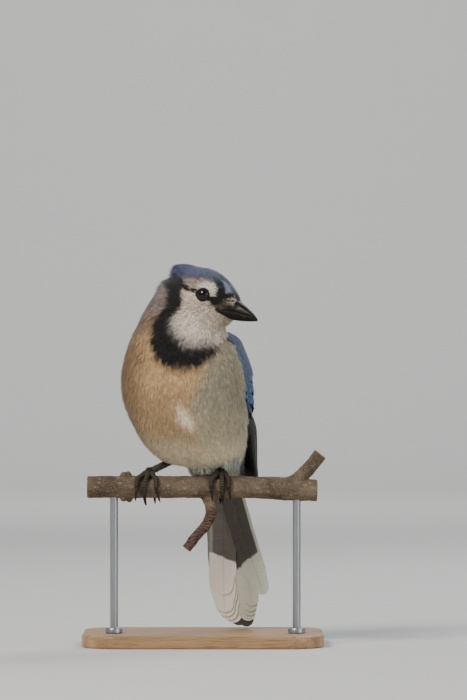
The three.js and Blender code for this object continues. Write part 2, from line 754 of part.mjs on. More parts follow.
const finish = (color, roughness, metalness = 0) =>
  new THREE.MeshStandardMaterial({ color, roughness, metalness });
const BREAST = finish(0xa39883, 0.9);
const CROWN = finish(0x6c7fa6, 0.85);
const NAPE = finish(0x83808c, 0.9);
const BLUE = finish(0x4f75ad, 0.7);
const TAIL = finish(0x7d8fa8, 0.75);
const BILL_FINISH = finish(0x2b2a28, 0.35);
const EYE = finish(0x1c120c, 0.08);
const FOOT = finish(0x3d3833, 0.55);
const CLAW = finish(0x1f1d1b, 0.35);
const BARK = finish(0x8a7965, 0.9);
const BASE = finish(0xb08a5e, 0.5);
const STEEL = finish(0x9a9c9e, 0.35, 1);

// The whole

const group = new THREE.Group();
const add = (name, solid, material) => group.add(mesh(name, solid, material));

const neckLine = PERCH_HEIGHT + NECK_CUT;
const flesh = torsoLoft(0);
const headClear = headLoft(GAP);
const fleshClear = torsoLoft(GAP);

add("torso", flesh.subtract(beyond(neckLine, 1)).subtract(headClear), BREAST);
add("neck", flesh.subtract(beyond(neckLine + GAP, -1)).subtract(headClear), NAPE);

const sockets = [1, -1].map((side) =>
  ellipsoid(head, eyeCentre(side), Array(3).fill(EYE_RADIUS + GAP), 16),
);
add("head", joined([headLoft(0), crest(), lids(1), lids(-1)]).subtract(joined(sockets)), CROWN);
const nostrils = joined([1, -1].map(nostril));
add("bill_upper", billHalf(true).subtract(nostrils).subtract(headClear), BILL_FINISH);
add("bill_lower", billHalf(false).subtract(headClear), BILL_FINISH);

for (const [name, side] of [["left", 1], ["right", -1]]) {
  add(`eye_${name}`, ellipsoid(head, eyeCentre(side), Array(3).fill(EYE_RADIUS), 16), EYE);
  add(`wing_${name}`, wing(side).subtract(fleshClear), BLUE);
}

add("tail", tail().subtract(fleshClear), TAIL);

for (const [name, foot] of Object.entries(FEET)) {
  add(name, leg(foot).subtract(fleshClear).subtract(branch(GAP)), FOOT);
  foot.toes.forEach((each, i) => add(`${name.replace("leg", "claw")}_${i + 1}`, claw(each), CLAW));
}

add("perch", perch(), BARK);
add("stand_base", standBase(), BASE);
for (const [name, x] of Object.entries(ROD_PLACES))
  add(name, standRod(x).subtract(branch(GAP)), STEEL);

export default group;
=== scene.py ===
"""A life-size blue jay on a perch and a plain display stand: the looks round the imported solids."""

import logging
import math
from dataclasses import dataclass, field, replace
from enum import Enum
from typing import Callable, Sequence

import bmesh
import bpy
import numpy as np
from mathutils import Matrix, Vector, kdtree


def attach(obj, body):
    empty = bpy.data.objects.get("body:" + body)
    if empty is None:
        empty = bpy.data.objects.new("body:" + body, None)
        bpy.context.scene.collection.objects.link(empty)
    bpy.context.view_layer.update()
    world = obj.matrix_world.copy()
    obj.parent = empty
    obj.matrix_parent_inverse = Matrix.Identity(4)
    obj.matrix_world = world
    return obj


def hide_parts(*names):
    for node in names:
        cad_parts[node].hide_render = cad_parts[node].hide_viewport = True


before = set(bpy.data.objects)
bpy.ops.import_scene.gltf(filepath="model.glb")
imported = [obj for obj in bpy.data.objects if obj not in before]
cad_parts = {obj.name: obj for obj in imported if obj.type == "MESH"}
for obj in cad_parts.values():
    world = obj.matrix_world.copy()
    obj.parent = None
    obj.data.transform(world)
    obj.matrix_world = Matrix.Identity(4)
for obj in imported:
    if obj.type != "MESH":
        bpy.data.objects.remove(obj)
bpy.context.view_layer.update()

log = logging.getLogger("jay")
MM = 0.001  # sizes are in millimetres until a mesh is made
Array = np.ndarray
Material = bpy.types.Material
Mesh = bpy.types.Mesh
Socket = bpy.types.NodeSocket
BMesh = bmesh.types.BMesh
Colour = tuple[float, float, float, float]
Place = Callable[[Array, Array], Array]
FeatherPlace = Callable[[Array, Array, Array], Array]


class Side(Enum):
    """The bird's own two sides."""

    LEFT = 1
    RIGHT = -1


# Arithmetic on arrays


def smooth(value: Array | float, low: float, high: float) -> Array:
    """A soft step from 0 at low to 1 at high."""
    t = np.clip((np.asarray(value, float) - low) / (high - low), 0.0, 1.0)
    return t * t * (3.0 - 2.0 * t)


def fade(value: Array | float, low: float, high: float) -> Array:
    """A soft step from 1 at low to 0 at high."""
    return 1 - smooth(value, low, high)


def lerp(a: Array | float, b: Array | float, t: Array | float) -> Array:
    """A value between a and b."""
    return a + (b - a) * t


def unit(vectors: Array) -> Array:
    """Vectors at length one."""
    length = np.linalg.norm(vectors, axis=-1, keepdims=True)
    return vectors / np.maximum(length, 1e-9)


def dots(a: Array, b: Array) -> Array:
    """The product of each row of a with the same row of b."""
    return np.einsum("ij,ij->i", a, b)


def flattened(ways: Array, out: Array, share: float = 1.0) -> Array:
    """Ways at length one, less a share of what goes along others, such as the ways out of the skin."""
    return unit(ways - share * out * dots(ways, out)[:, None])


def along(rows: Array, share: Array | float, column: int) -> Array:
    """A value that goes smoothly through the rows of a table.

    Args:
        rows: the table.
        share: how far along the rows, 0 to 1.
        column: which column is wanted.

    Returns:
        The column's value at each share.
    """
    place = np.clip(np.asarray(share, float), 0.0, 1.0) * (len(rows) - 1)
    i = np.minimum(place.astype(int), len(rows) - 2)
    t = place - i
    before, a, b, after = (rows[np.clip(i + k, 0, len(rows) - 1), column] for k in (-1, 0, 1, 2))
    t2, t3 = t * t, t * t * t
    return (a * (2 * t3 - 3 * t2 + 1) + (b - before) / 2 * (t3 - 2 * t2 + t)
            + b * (3 * t2 - 2 * t3) + (after - a) / 2 * (t3 - t2))


def read_off(places: Array, line: Sequence[Sequence[float]]) -> Array:
    """The values of a line, given as places and values, at other places."""
    return np.interp(places, line[0], line[1])


def mottle(points: Array, size: float, seed: int) -> Array:
    """Soft blotches, from -1 to 1.

    Args:
        points: places in millimetres.
        size: about how far the blotches are apart.
        seed: picks a pattern.

    Returns:
        One value for each point.
    """
    rng = np.random.default_rng(seed)
    waves = unit(rng.normal(size=(7, 3))) * rng.uniform(0.6, 1.6, (7, 1)) * 2 * math.pi / size
    phases = rng.uniform(0, 2 * math.pi, 7)
    return np.sin(points @ waves.T + phases).sum(axis=-1) / 4.0


def tone(code: int, strength: float = 1.0) -> Array:
    """A screen colour such as 0xAABBCC as linear red, green and blue."""
    parts = np.array([(code >> 16) & 255, (code >> 8) & 255, code & 255]) / 255.0
    return np.where(parts <= 0.04045, parts / 12.92, ((parts + 0.055) / 1.055) ** 2.4) * strength


def paint(code: int, strength: float = 1.0) -> Colour:
    """A screen colour for a shader's socket."""
    return (*map(float, tone(code, strength)), 1.0)


def dyed(first: Array | int, second: Array | int, share: Array) -> Array:
    """One screen or linear colour turned towards another, by a share for each point."""
    a, b = (tone(colour) if isinstance(colour, int) else colour for colour in (first, second))
    return lerp(a, b, share[:, None])


@dataclass(frozen=True)
class Axes:
    """An origin with three ways: forward, the bird's left, and up."""

    origin: Array
    forward: Array
    left: Array
    up: Array

    @classmethod
    def facing(cls, origin: Sequence[float], forward: Sequence[float],
               up: Sequence[float] = (0.0, 0.0, 1.0)) -> "Axes":
        """Axes that look one way.

        Args:
            origin: where they stand.
            forward: the way they look.
            up: roughly up.

        Returns:
            The axes, square to each other.
        """
        ahead = unit(np.array(forward, float))
        left = unit(np.cross(np.array(up, float), ahead))
        return cls(np.array(origin, float), ahead, left, np.cross(ahead, left))

    def way(self, forward: Array | float, left: Array | float, up: Array | float) -> Array:
        """A direction or offset given along the three ways."""
        parts = [np.asarray(x, float)[..., None] for x in (forward, left, up)]
        return parts[0] * self.forward + parts[1] * self.left + parts[2] * self.up

    def at(self, forward: Array | float, left: Array | float, up: Array | float) -> Array:
        """A place given along the three ways."""
        return self.way(forward, left, up) + self.origin

    def local(self, points: Array) -> Array:
        """Places as forward, left and up from the origin."""
        return (points - self.origin) @ np.stack([self.forward, self.left, self.up]).T


# The bird's form, from the same sizes as its solids


@dataclass(frozen=True)
class Form:
    """The surfaces of torso, head, folded wings and tail, in millimetres."""

    perch_back: float = -16.0
    perch_height: float = 100.0
    body_turn: float = math.radians(29)
    head_turn: float = math.radians(52)
    head_dip: float = math.radians(10)
    wing_pocket: float = 3.6
    tail_root: tuple[float, float, float] = (-36.0, 6.0, 22.0)
    tail_droop: float = math.radians(12)
    tail_arch: float = 0.006
    # sections: forward, up, half width, depth to the belly, depth to the back, aside
    torso: Array = field(default_factory=lambda: np.array([
        [-46.5, -11, 13.5, 4, 4.5, 6], [-43, -1, 15, 8, 7, 5.6], [-38, 10, 18.5, 13, 10, 4.4],
        [-31, 20, 25.5, 21, 15, 3], [-22, 31, 34, 30, 20, 1.4], [-12, 46, 40, 38, 27, 0.6],
        [-6, 62, 41.5, 39, 31, 0], [-2, 78, 39.5, 36, 29, 0], [1, 91, 34, 31, 25, 0],
        [3, 102, 29, 27, 22, -0.5], [3, 111, 24.5, 22, 20, -0.5], [2, 119, 19, 17, 17, -1.5],
        [0, 126, 13, 12, 13, -2], [-1, 130, 6, 6, 6, -2]]))
    # sections: forward, up, half width, height of the crown and depth of the throat
    skull: Array = field(default_factory=lambda: np.array([
        [-21, 4.5, 7, 8.4, 9], [-17.5, 3.5, 12, 13.8, 15], [-10, 2.5, 15, 16.8, 18],
        [-1, 2, 15.8, 17.8, 18.5], [6, 1.5, 14.3, 16.8, 17.5], [12.5, 0.5, 12, 15, 15],
        [18.5, -0.8, 9.4, 12.3, 11.2], [23.5, -2.2, 6.8, 9.2, 7.4], [27, -3, 4.6, 5.6, 4.8]]))
    # sections like the torso's, then the angles of the wing's front and back edges in degrees
    wing: Array = field(default_factory=lambda: np.array([
        [0, 88, 36.5, 34, 30.5, 0, 4, -70], [-3, 75, 40.5, 36, 33.5, 0, 5, -70],
        [-7, 60, 42.3, 38, 34.5, 0, 3, -69], [-12, 45, 40.5, 38, 32.5, 0.6, 0, -69],
        [-19, 30, 37, 34, 28.5, 1.6, -3, -69], [-27, 16, 32.5, 28, 23, 3.4, -6, -70],
        [-34.5, 3, 28, 21, 17.5, 5, -12, -73], [-42.5, -9, 15, 14, 13, 6, -38, -80],
        [-47.5, -21, 11, 10, 10.5, 6, -48, -76], [-51.5, -33, 8.5, 8, 9.5, 6, -56, -70]]))

    @property
    def body(self) -> Axes:
        """The body's axes, on the perch between the feet.

        Returns:
            The axes.
        """
        turn = self.body_turn
        return Axes.facing((-11.8, self.perch_back, self.perch_height),
                           (-math.sin(turn), -math.cos(turn), 0.0))

    @property
    def head(self) -> Axes:
        """The head's axes, from the middle of the head.

        Returns:
            The axes.
        """
        turn, dip = self.head_turn, self.head_dip
        return Axes.facing((2.5, self.perch_back - 5, self.perch_height + 118),
                           (math.sin(turn) * math.cos(dip), -math.cos(turn) * math.cos(dip),
                            -math.sin(dip)))

    def wrap(self, rows: Array, share: Array, angle: Array, grow: Array | float = 0.0) -> Array:
        """Points on a wrap of sections round the body.

        Args:
            rows: the sections.
            share: how far along them.
            angle: from the bird's left round to the belly, or to the back where it is negative.
            grow: how far outside the surface.

        Returns:
            The points.
        """
        low, high = np.clip(share - 0.004, 0, 1), np.clip(share + 0.004, 0, 1)
        rise = unit(np.stack([along(rows, high, k) - along(rows, low, k) for k in (0, 1)], -1))
        rise = np.where(rise[..., 1:] < 0, -rise, rise)
        deep = np.where(np.sin(angle) > 0, along(rows, share, 3), along(rows, share, 4)) + grow
        out = np.sin(angle) * deep
        across = np.cos(angle) * (along(rows, share, 2) + grow)
        return self.body.at(along(rows, share, 0) + rise[..., 1] * out,
                            across + along(rows, share, 5),
                            along(rows, share, 1) - rise[..., 0] * out)

    def around(self, trunk: Array) -> Array:
        """The angle round the torso of places in the body's axes, from its left to its front."""
        middle = np.interp(trunk[:, 2], self.torso[:, 1], self.torso[:, 0])
        return np.arctan2(trunk[:, 0] - middle, trunk[:, 1])

    def pocket(self, share: Array, angle: Array) -> Array:
        """How far the side is hollowed for the folded wing.

        Args:
            share: how far up the torso.
            angle: the angle round it.

        Returns:
            The depth at each place.
        """
        back = -np.sin(angle)
        round_it = smooth(back, -0.3, 0.0) * fade(back, 0.86, 1.0)
        return self.wing_pocket * round_it * smooth(share, 0.1, 0.3) * fade(share, 0.6, 0.72)

    def on_head(self, share: Array, angle: Array, grow: Array | float = 0.0) -> Array:
        """Points on the head.

        Args:
            share: how far forward along it.
            angle: from its left up to the crown.
            grow: how far outside the surface.

        Returns:
            The points.
        """
        reach = np.where(np.sin(angle) > 0, along(self.skull, share, 3), along(self.skull, share, 4))
        return self.head.at(along(self.skull, share, 0),
                            np.cos(angle) * (along(self.skull, share, 2) + grow),
                            along(self.skull, share, 1) + np.sin(angle) * (reach + grow))

    def head_width(self, forward: Array, height: Array) -> Array:
        """The head's half width at a distance forward and a height.

        Args:
            forward: the distance forward from the head's middle.
            height: the height over the head's middle.

        Returns:
            The half width.
        """
        share = np.interp(forward, self.skull[:, 0], np.linspace(0, 1, len(self.skull)))
        rise = height - along(self.skull, share, 1)
        reach = np.where(rise > 0, along(self.skull, share, 3), along(self.skull, share, 4))
        return along(self.skull, share, 2) * np.sqrt(np.clip(1 - (rise / reach) ** 2, 0.02, 1))

    def on_wing(self, side: Side, share: Array, across: Array, height: Array) -> Array:
        """Points on a folded wing.

        Args:
            side: which wing.
            share: from the shoulder to the tip.
            across: from its front edge to its back edge.
            height: over its surface.

        Returns:
            The points.
        """
        edges = [along(self.wing, share, k) for k in (6, 7)]
        angle = np.radians(lerp(edges[0], edges[1], across))
        turned = angle if side is Side.LEFT else math.pi - angle
        return self.wrap(self.wing, share, turned, height)

    def on_tail(self, down: Array, left: Array, over: Array) -> Array:
        """Points on the tail, down it, to the bird's left and towards its upper side.

        Args:
            down: how far down it.
            left: how far to the bird's left.
            over: how far towards its upper side.

        Returns:
            The points.
        """
        bow = over - self.tail_arch * left * left
        forward, aside, up = self.tail_root
        sin, cos = math.sin(self.tail_droop), math.cos(self.tail_droop)
        return self.body.at(forward - down * sin - bow * cos, aside + left, up - down * cos + bow * sin)


FORM = Form()
BODY, HEAD = FORM.body, FORM.head


@dataclass(frozen=True)
class EyePlace:
    """Where the eyes sit, and how large they are."""

    radius: float = 4.7
    forward: float = 5.7
    aside: float = 10.9
    up: float = 3.9
    look_forward: float = math.radians(20)

    def axes(self, side: Side) -> Axes:
        """Axes from the middle of an eye, looking out.

        Args:
            side: which eye.

        Returns:
            The axes.
        """
        turn = self.look_forward
        return Axes.facing(HEAD.at(self.forward, side.value * self.aside, self.up),
                           HEAD.way(math.sin(turn), side.value * math.cos(turn), 0.06), HEAD.up)


EYES = EyePlace()


# Meshes


def placed(name: str, data: bpy.types.ID) -> bpy.types.Object:
    """A new object in the scene.

    Args:
        name: its name.
        data: its mesh, light or camera.

    Returns:
        The object.
    """
    made = bpy.data.objects.new(name, data)
    bpy.context.scene.collection.objects.link(made)
    return made


def read(mesh: Mesh, key: str) -> Array:
    """The places, as co, or the normals of a mesh's points, one row each.

    Args:
        mesh: the mesh.
        key: co for the places in metres, or normal for the ways out.

    Returns:
        One row for each point.
    """
    values = np.zeros(len(mesh.vertices) * 3)
    mesh.vertices.foreach_get(key, values)
    return values.reshape(-1, 3)


def moved(mesh: Mesh, points: Array) -> None:
    """Puts a mesh's points at places in millimetres."""
    mesh.vertices.foreach_set("co", (points * MM).astype(np.float32).ravel())


def shown(name: str, mesh: Mesh, materials: Sequence[Material],
          replaces: Sequence[str] = ()) -> bpy.types.Object:
    """A finished piece of the object, in the scene and riding on its body.

    Args:
        name: the piece's name.
        mesh: its mesh, in metres and in place.
        materials: its finishes.
        replaces: the CAD nodes that it stands for.

    Returns:
        The object.
    """
    piece = placed(name, mesh)
    for material in materials:
        mesh.materials.append(material)
    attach(piece, "root")
    if replaces:
        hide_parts(*replaces)
    mesh.calc_loop_triangles()
    log.info("%s: %d triangles", name, len(mesh.loop_triangles))
    return piece


def settled(bm: BMesh, name: str) -> Mesh:
    """A bmesh as a smooth mesh with its faces out, and freed.

    Args:
        bm: the bmesh.
        name: the mesh's name.

    Returns:
        The mesh.
    """
    bmesh.ops.recalc_face_normals(bm, faces=bm.faces)
    mesh = bpy.data.meshes.new(name)
    bm.to_mesh(mesh)
    bm.free()
    mesh.shade_smooth()
    return mesh


def from_arrays(name: str, points: Array, faces: Array) -> Mesh:
    """A mesh of four-sided faces from arrays.

    Args:
        name: the mesh's name.
        points: places in millimetres, one row each.
        faces: four point numbers in each row.

    Returns:
        The mesh, smooth.
    """
    mesh = bpy.data.meshes.new(name)
    mesh.vertices.add(len(points))
    moved(mesh, points)
    mesh.loops.add(faces.size)
    mesh.loops.foreach_set("vertex_index", faces.astype(np.int32).ravel())
    mesh.polygons.add(len(faces))
    mesh.polygons.foreach_set("loop_start", np.arange(0, faces.size, 4, dtype=np.int32))
    mesh.update(calc_edges=True)
    mesh.shade_smooth()
    return mesh


def add_values(mesh: Mesh, name: str, values: Array) -> None:
    """Stores a number or a colour for each point of a mesh.

    Args:
        mesh: the mesh.
        name: the attribute's name.
        values: one number, or red, green and blue, for each point.
    """
    if values.ndim == 1:
        layer = mesh.attributes.new(name, "FLOAT", "POINT")
        layer.data.foreach_set("value", values.astype(np.float32))
        return
    layer = mesh.color_attributes.new(name, "FLOAT_COLOR", "POINT")
    full = np.concatenate([np.clip(values, 0, 1), np.ones((len(values), 1))], 1)
    layer.data.foreach_set("color", full.astype(np.float32).ravel())


def add_map(mesh: Mesh, name: str, places: Array) -> None:
    """Adds a UV map from one place for each point.

    Args:
        mesh: the mesh.
        name: the map's name.
        places: across and up in the map, one row for each point.
    """
    corners = np.zeros(len(mesh.loops), np.int32)
    mesh.loops.foreach_get("vertex_index", corners)
    layer = mesh.uv_layers.new(name=name)
    layer.data.foreach_set("uv", places[corners].astype(np.float32).ravel())


def wrapped(columns: int, rows: int, place: Place) -> BMesh:
    """A grid laid on a surface, welded where it meets itself, with its open ends filled.

    Args:
        columns: faces round.
        rows: faces along.
        place: gives the points, in millimetres, for shares round and along.

    Returns:
        The bmesh.
    """
    bm = bmesh.new()
    bmesh.ops.create_grid(bm, x_segments=columns, y_segments=rows, size=0.5)
    shares = np.array([v.co[:2] for v in bm.verts]) + 0.5
    for vert, point in zip(bm.verts, place(shares[:, 0], shares[:, 1]) * MM):
        vert.co = point
    bmesh.ops.remove_doubles(bm, verts=bm.verts, dist=1e-6)
    bmesh.ops.holes_fill(bm, edges=[e for e in bm.edges if e.is_boundary])
    bmesh.ops.recalc_face_normals(bm, faces=bm.faces)
    return bm


def lofted(rings: Array, bm: BMesh | None = None, worn: Array | None = None) -> BMesh:
    """A circle extruded from ring to ring, with both ends filled.

    Args:
        rings: places in millimetres, as rings by points by 3.
        bm: takes the new faces, if given.
        worn: how worn each point is, and how much painted highlight it has, for the horn finish.

    Returns:
        The bmesh.
    """
    bm = bm or bmesh.new()
    turn = bm.verts.layers.int.get("turn") or bm.verts.layers.int.new("turn")
    wear = bm.verts.layers.float.get("Worn") or bm.verts.layers.float.new("Worn")
    worn = np.zeros(rings.shape[:2]) if worn is None else np.broadcast_to(worn, rings.shape[:2])
    ring = bmesh.ops.create_circle(bm, segments=rings.shape[1], radius=1.0)["verts"]
    for i, vert in enumerate(ring):
        vert[turn], vert[wear], vert.co = i, worn[0][i], rings[0][i] * MM
    edges = list({edge for vert in ring for edge in vert.link_edges})
    first = edges
    for level, wears in zip(rings[1:], worn[1:]):
        made = bmesh.ops.extrude_edge_only(bm, edges=edges)["geom"]
        verts = {g for g in made if isinstance(g, bmesh.types.BMVert)}
        for vert in verts:
            vert[wear], vert.co = wears[vert[turn]], level[vert[turn]] * MM
        edges = [g for g in made if isinstance(g, bmesh.types.BMEdge) and set(g.verts) <= verts]
    for end in (first, edges):
        bmesh.ops.holes_fill(bm, edges=end)
    return bm


def tube_rings(path: Array, radius: Array, sides: int) -> Array:
    """Round sections along a path, square to it and without twist.

    Args:
        path: points in millimetres.
        radius: one for each point of the path, or for each point and side.
        sides: points round.

    Returns:
        Rings by points by 3.
    """
    ahead = unit(np.gradient(path, axis=0))
    normal = unit(np.cross(ahead[0], [0.31, 0.2, 0.93]))
    turns = np.linspace(0, 2 * math.pi, sides, endpoint=False)
    wide = np.broadcast_to(radius if np.ndim(radius) == 2 else np.reshape(radius, (-1, 1)),
                           (len(path), sides))
    rings = []
    for point, way, reach in zip(path, ahead, wide):
        normal = unit(normal - way * (normal @ way))
        binormal = np.cross(way, normal)
        rings.append(point + np.outer(np.cos(turns) * reach, normal)
                     + np.outer(np.sin(turns) * reach, binormal))
    return np.array(rings)


def curve(points: Sequence[Sequence[float]], steps: int) -> Array:
    """A smooth line through a few points.

    Args:
        points: the points.
        steps: how many steps the line has.

    Returns:
        The line's points.
    """
    rows = np.array(points, float)
    shares = np.linspace(0, 1, steps + 1)
    return np.stack([along(rows, shares, k) for k in range(rows.shape[1])], -1)


# Finishes


class Shade:
    """A material that is being put together from nodes."""

    def __init__(self, name: str, **sockets: float) -> None:
        """Starts a material.

        Args:
            name: the material's name.
            sockets: numbers for the shader's own sockets, with _ for a space in their names.
        """
        self.material = bpy.data.materials.new(name)
        self.material.use_nodes = True
        self.tree = self.material.node_tree
        self.shader = self.tree.nodes["Principled BSDF"]
        for key, value in sockets.items():
            self.shader.inputs[key.replace("_", " ")].default_value = value

    def node(self, kind: str, inputs: dict[int | str, object] | None = None,
             output: int = 0, **settings: object) -> Socket:
        """Adds a node.

        Args:
            kind: the node's type, without ShaderNode.
            inputs: what its sockets hold or are linked to.
            output: which output is wanted.
            settings: the node's own settings.

        Returns:
            The output socket.
        """
        made = self.tree.nodes.new("ShaderNode" + kind)
        for key, value in settings.items():
            setattr(made, key, value)
        for key, value in (inputs or {}).items():
            if isinstance(value, Socket):
                self.tree.links.new(value, made.inputs[key])
            else:
                made.inputs[key].default_value = value
        return made.outputs[output]

    def place(self, scale: Sequence[float], turn: Sequence[float] = (0, 0, 0)) -> Socket:
        """Object coordinates, stretched and turned."""
        start = self.node("TexCoord", output=3)
        return self.node("Mapping", {"Vector": start, "Scale": scale, "Rotation": turn})

    def noise(self, scale: float, detail: float = 3.0, vector: Socket | None = None,
              rough: float = 0.55) -> Socket:
        """A noise from 0 to 1, whose scale is in waves to the metre."""
        return self.node("TexNoise", {"Vector": vector or self.node("TexCoord", output=3),
                                      "Scale": scale, "Detail": detail, "Roughness": rough})

    def maths(self, operation: str, a: object, b: object = 0.0) -> Socket:
        """One sum on one or two values."""
        return self.node("Math", {0: a, 1: b}, operation=operation)

    def times(self, a: object, b: object) -> Socket:
        """One value times another."""
        return self.maths("MULTIPLY", a, b)

    def plus(self, a: object, b: object) -> Socket:
        """One value plus another."""
        return self.maths("ADD", a, b)

    def less(self, a: object, b: object) -> Socket:
        """One value less another."""
        return self.maths("SUBTRACT", a, b)

    def rest(self, value: object) -> Socket:
        """What a value leaves of 1."""
        return self.maths("SUBTRACT", 1.0, value)

    def spread(self, value: object, low: float, high: float) -> Socket:
        """A value from 0 to 1 spread between two others."""
        return self.node("MapRange", {0: value, 3: low, 4: high})

    def step(self, value: Socket, low: object, high: object) -> Socket:
        """A soft step of a value from 0 to 1."""
        return self.node("MapRange", {0: value, 1: low, 2: high}, interpolation_type="SMOOTHSTEP")

    def mix(self, factor: object, a: object, b: object, way: str = "MIX") -> Socket:
        """Two colours mixed."""
        return self.node("Mix", {0: factor, 6: a, 7: b}, output=2, data_type="RGBA", blend_type=way)

    def value(self, name: str, output: int = 2) -> Socket:
        """A number, or with output 0 a colour, that is stored on the mesh."""
        return self.node("Attribute", output=output, attribute_name=name, attribute_type="GEOMETRY")

    def done(self, colour: Socket, rough: Socket | None = None,
             height: Socket | None = None, strength: float = 0.3,
             depth: float = 0.0003) -> Material:
        """Links the finished colour, roughness and bump.

        Args:
            colour: the base colour.
            rough: the roughness, if it varies.
            height: the bump's height, if there is one.
            strength: how strong the bump is.
            depth: how deep it is, in metres.

        Returns:
            The material.
        """
        link = self.tree.links.new
        link(colour, self.shader.inputs["Base Color"])
        if rough:
            link(rough, self.shader.inputs["Roughness"])
        if height:
            bump = self.node("Bump", {"Height": height, "Strength": strength, "Distance": depth})
            link(bump, self.shader.inputs["Normal"])
        return self.material


@dataclass(frozen=True)
class Down:
    """Small feathers and the skin under them, in the colours stored on the mesh."""

    name: str = "down"
    roughness: float = 0.85
    sheen: float = 0.25

    def material(self) -> Material:
        """Makes the material.

        Returns:
            The material.
        """
        shade = Shade(self.name, Roughness=self.roughness, Sheen_Weight=self.sheen,
                      Sheen_Roughness=0.5, Specular_IOR_Level=0.25)
        tint = shade.value("Tint", 0)
        streak = shade.step(shade.noise(900, 2, shade.place((1, 1, 0.35))), 0.3, 0.7)
        blotch = shade.noise(60, 2)
        low = shade.mix(1.0, tint, (0.84, 0.83, 0.82, 1), "MULTIPLY")
        high = shade.mix(1.0, tint, (1.1, 1.1, 1.1, 1), "MULTIPLY")
        colour = shade.mix(shade.times(streak, shade.plus(blotch, 0.35)), low, high)
        return shade.done(colour)


@dataclass(frozen=True)
class Vane:
    """Flight feathers and coverts: bars, white tips, barbs and a shaft, by the Vane map."""

    name: str
    bar_gap: float = 3.7  # millimetres from bar to bar
    web_dark: float = 0.5  # how dark the hidden inner web is
    roughness: float = 0.5

    def material(self) -> Material:
        """Makes the material.

        Returns:
            The material.
        """
        shade = Shade(self.name, Roughness=self.roughness, Sheen_Weight=0.1, Specular_IOR_Level=0.25)
        place = shade.node("UVMap", uv_map="Vane")
        across = shade.less(shade.node("SeparateXYZ", {0: place}), 0.5)
        tip = shade.times(shade.node("SeparateXYZ", {0: place}, output=1), 100.0)
        side = shade.times(shade.maths("ABSOLUTE", across), 2.0)
        wander = shade.less(shade.noise(260, 2), 0.5)
        slope = shade.times(side, 3.0)
        barb = shade.plus(tip, slope)
        # fine barbs run outward from the shaft
        strand = shade.node("CombineXYZ", {0: side, 1: shade.times(barb, 3.4), 2: shade.value("Own")})
        fine = shade.node("TexNoise", {"Vector": strand, "Scale": 1.0, "Detail": 2.0})
        tint = shade.value("Tint", 0)
        low = shade.mix(1.0, tint, (0.8, 0.8, 0.82, 1), "MULTIPLY")
        high = shade.mix(1.0, tint, (1.14, 1.14, 1.12, 1), "MULTIPLY")
        body = shade.mix(shade.step(fine, 0.3, 0.7), low, high)
        # the inner web is dull and dark
        inner = shade.times(shade.step(across, 0.05, 0.3), shade.value("Inner"))
        body = shade.mix(inner, body, paint(0x2E2C2C, self.web_dark))
        # black bars across the blue
        wave = shade.plus(shade.maths("DIVIDE", barb, self.bar_gap), shade.times(wander, 0.7))
        ridge = shade.maths("PINGPONG", wave, 0.5)
        bars = shade.times(shade.step(ridge, 0.29, 0.36), shade.value("Bar"))
        body = shade.mix(bars, body, paint(0x17171B))
        # the white tip, with a black bar above it
        white = shade.value("White")
        outer = shade.times(across, -2.0)
        slant = shade.times(shade.times(outer, white), 0.12)
        ragged = shade.times(wander, shade.plus(shade.times(white, 0.1), 1.0))
        rim = shade.plus(white, shade.plus(slant, ragged))
        over = shade.less(tip, rim)
        far = shade.maths("ABSOLUTE", shade.less(over, 1.4))
        band = shade.times(shade.rest(shade.step(far, 0.7, 1.5)), shade.value("Bar"))
        body = shade.mix(shade.times(band, shade.step(white, 0.2, 1.0)), body, paint(0x17171B))
        pale = shade.rest(shade.step(over, -0.9, 0.7))
        lit = shade.mix(shade.times(shade.step(fine, 0.35, 0.65), 0.3), shade.value("Pale", 0),
                        paint(0xF0EDE2))
        body = shade.mix(shade.times(pale, shade.step(white, 0.2, 1.0)), body, lit)
        # a pale rim along the outer edge
        edge = shade.times(shade.step(outer, 0.7, 0.84), shade.value("Edge"))
        body = shade.mix(edge, body, shade.value("Pale", 0))
        shaft = shade.rest(shade.step(side, 0.03, 0.075))
        body = shade.mix(shade.times(shaft, shade.value("Shaft")), body, paint(0x241E1A))
        height = shade.plus(fine, shade.times(shaft, 1.5))
        rough = shade.spread(fine, self.roughness - 0.08, self.roughness + 0.16)
        return shade.done(body, rough, height, 0.25, 0.00015)


@dataclass(frozen=True)
class Horn:
    """Bill, legs and claws, with the wear and painted highlights that their meshes store."""

    name: str
    colour: int
    worn: int
    roughness: float
    grain: float = 700.0
    stretch: tuple[float, float, float] = (1.0, 1.0, 1.0)
    depth: float = 0.0001
    specular: float = 0.5

    def material(self) -> Material:
        """Makes the material.

        Returns:
            The material.
        """
        shade = Shade(self.name, Roughness=self.roughness, Specular_IOR_Level=self.specular)
        grain = shade.noise(self.grain, 4, shade.place(self.stretch))
        wear = shade.times(shade.step(grain, 0.45, 0.8), 0.22)
        colour = shade.mix(wear, paint(self.colour), paint(self.worn))
        # the stored wear and painted highlights turn the colour pale
        colour = shade.mix(shade.value("Worn"), colour, paint(self.worn))
        blotch = shade.step(shade.noise(220, 3), 0.3, 0.75)
        rough = shade.spread(blotch, self.roughness - 0.08, self.roughness + 0.16)
        return shade.done(colour, rough, grain, 0.4, self.depth)


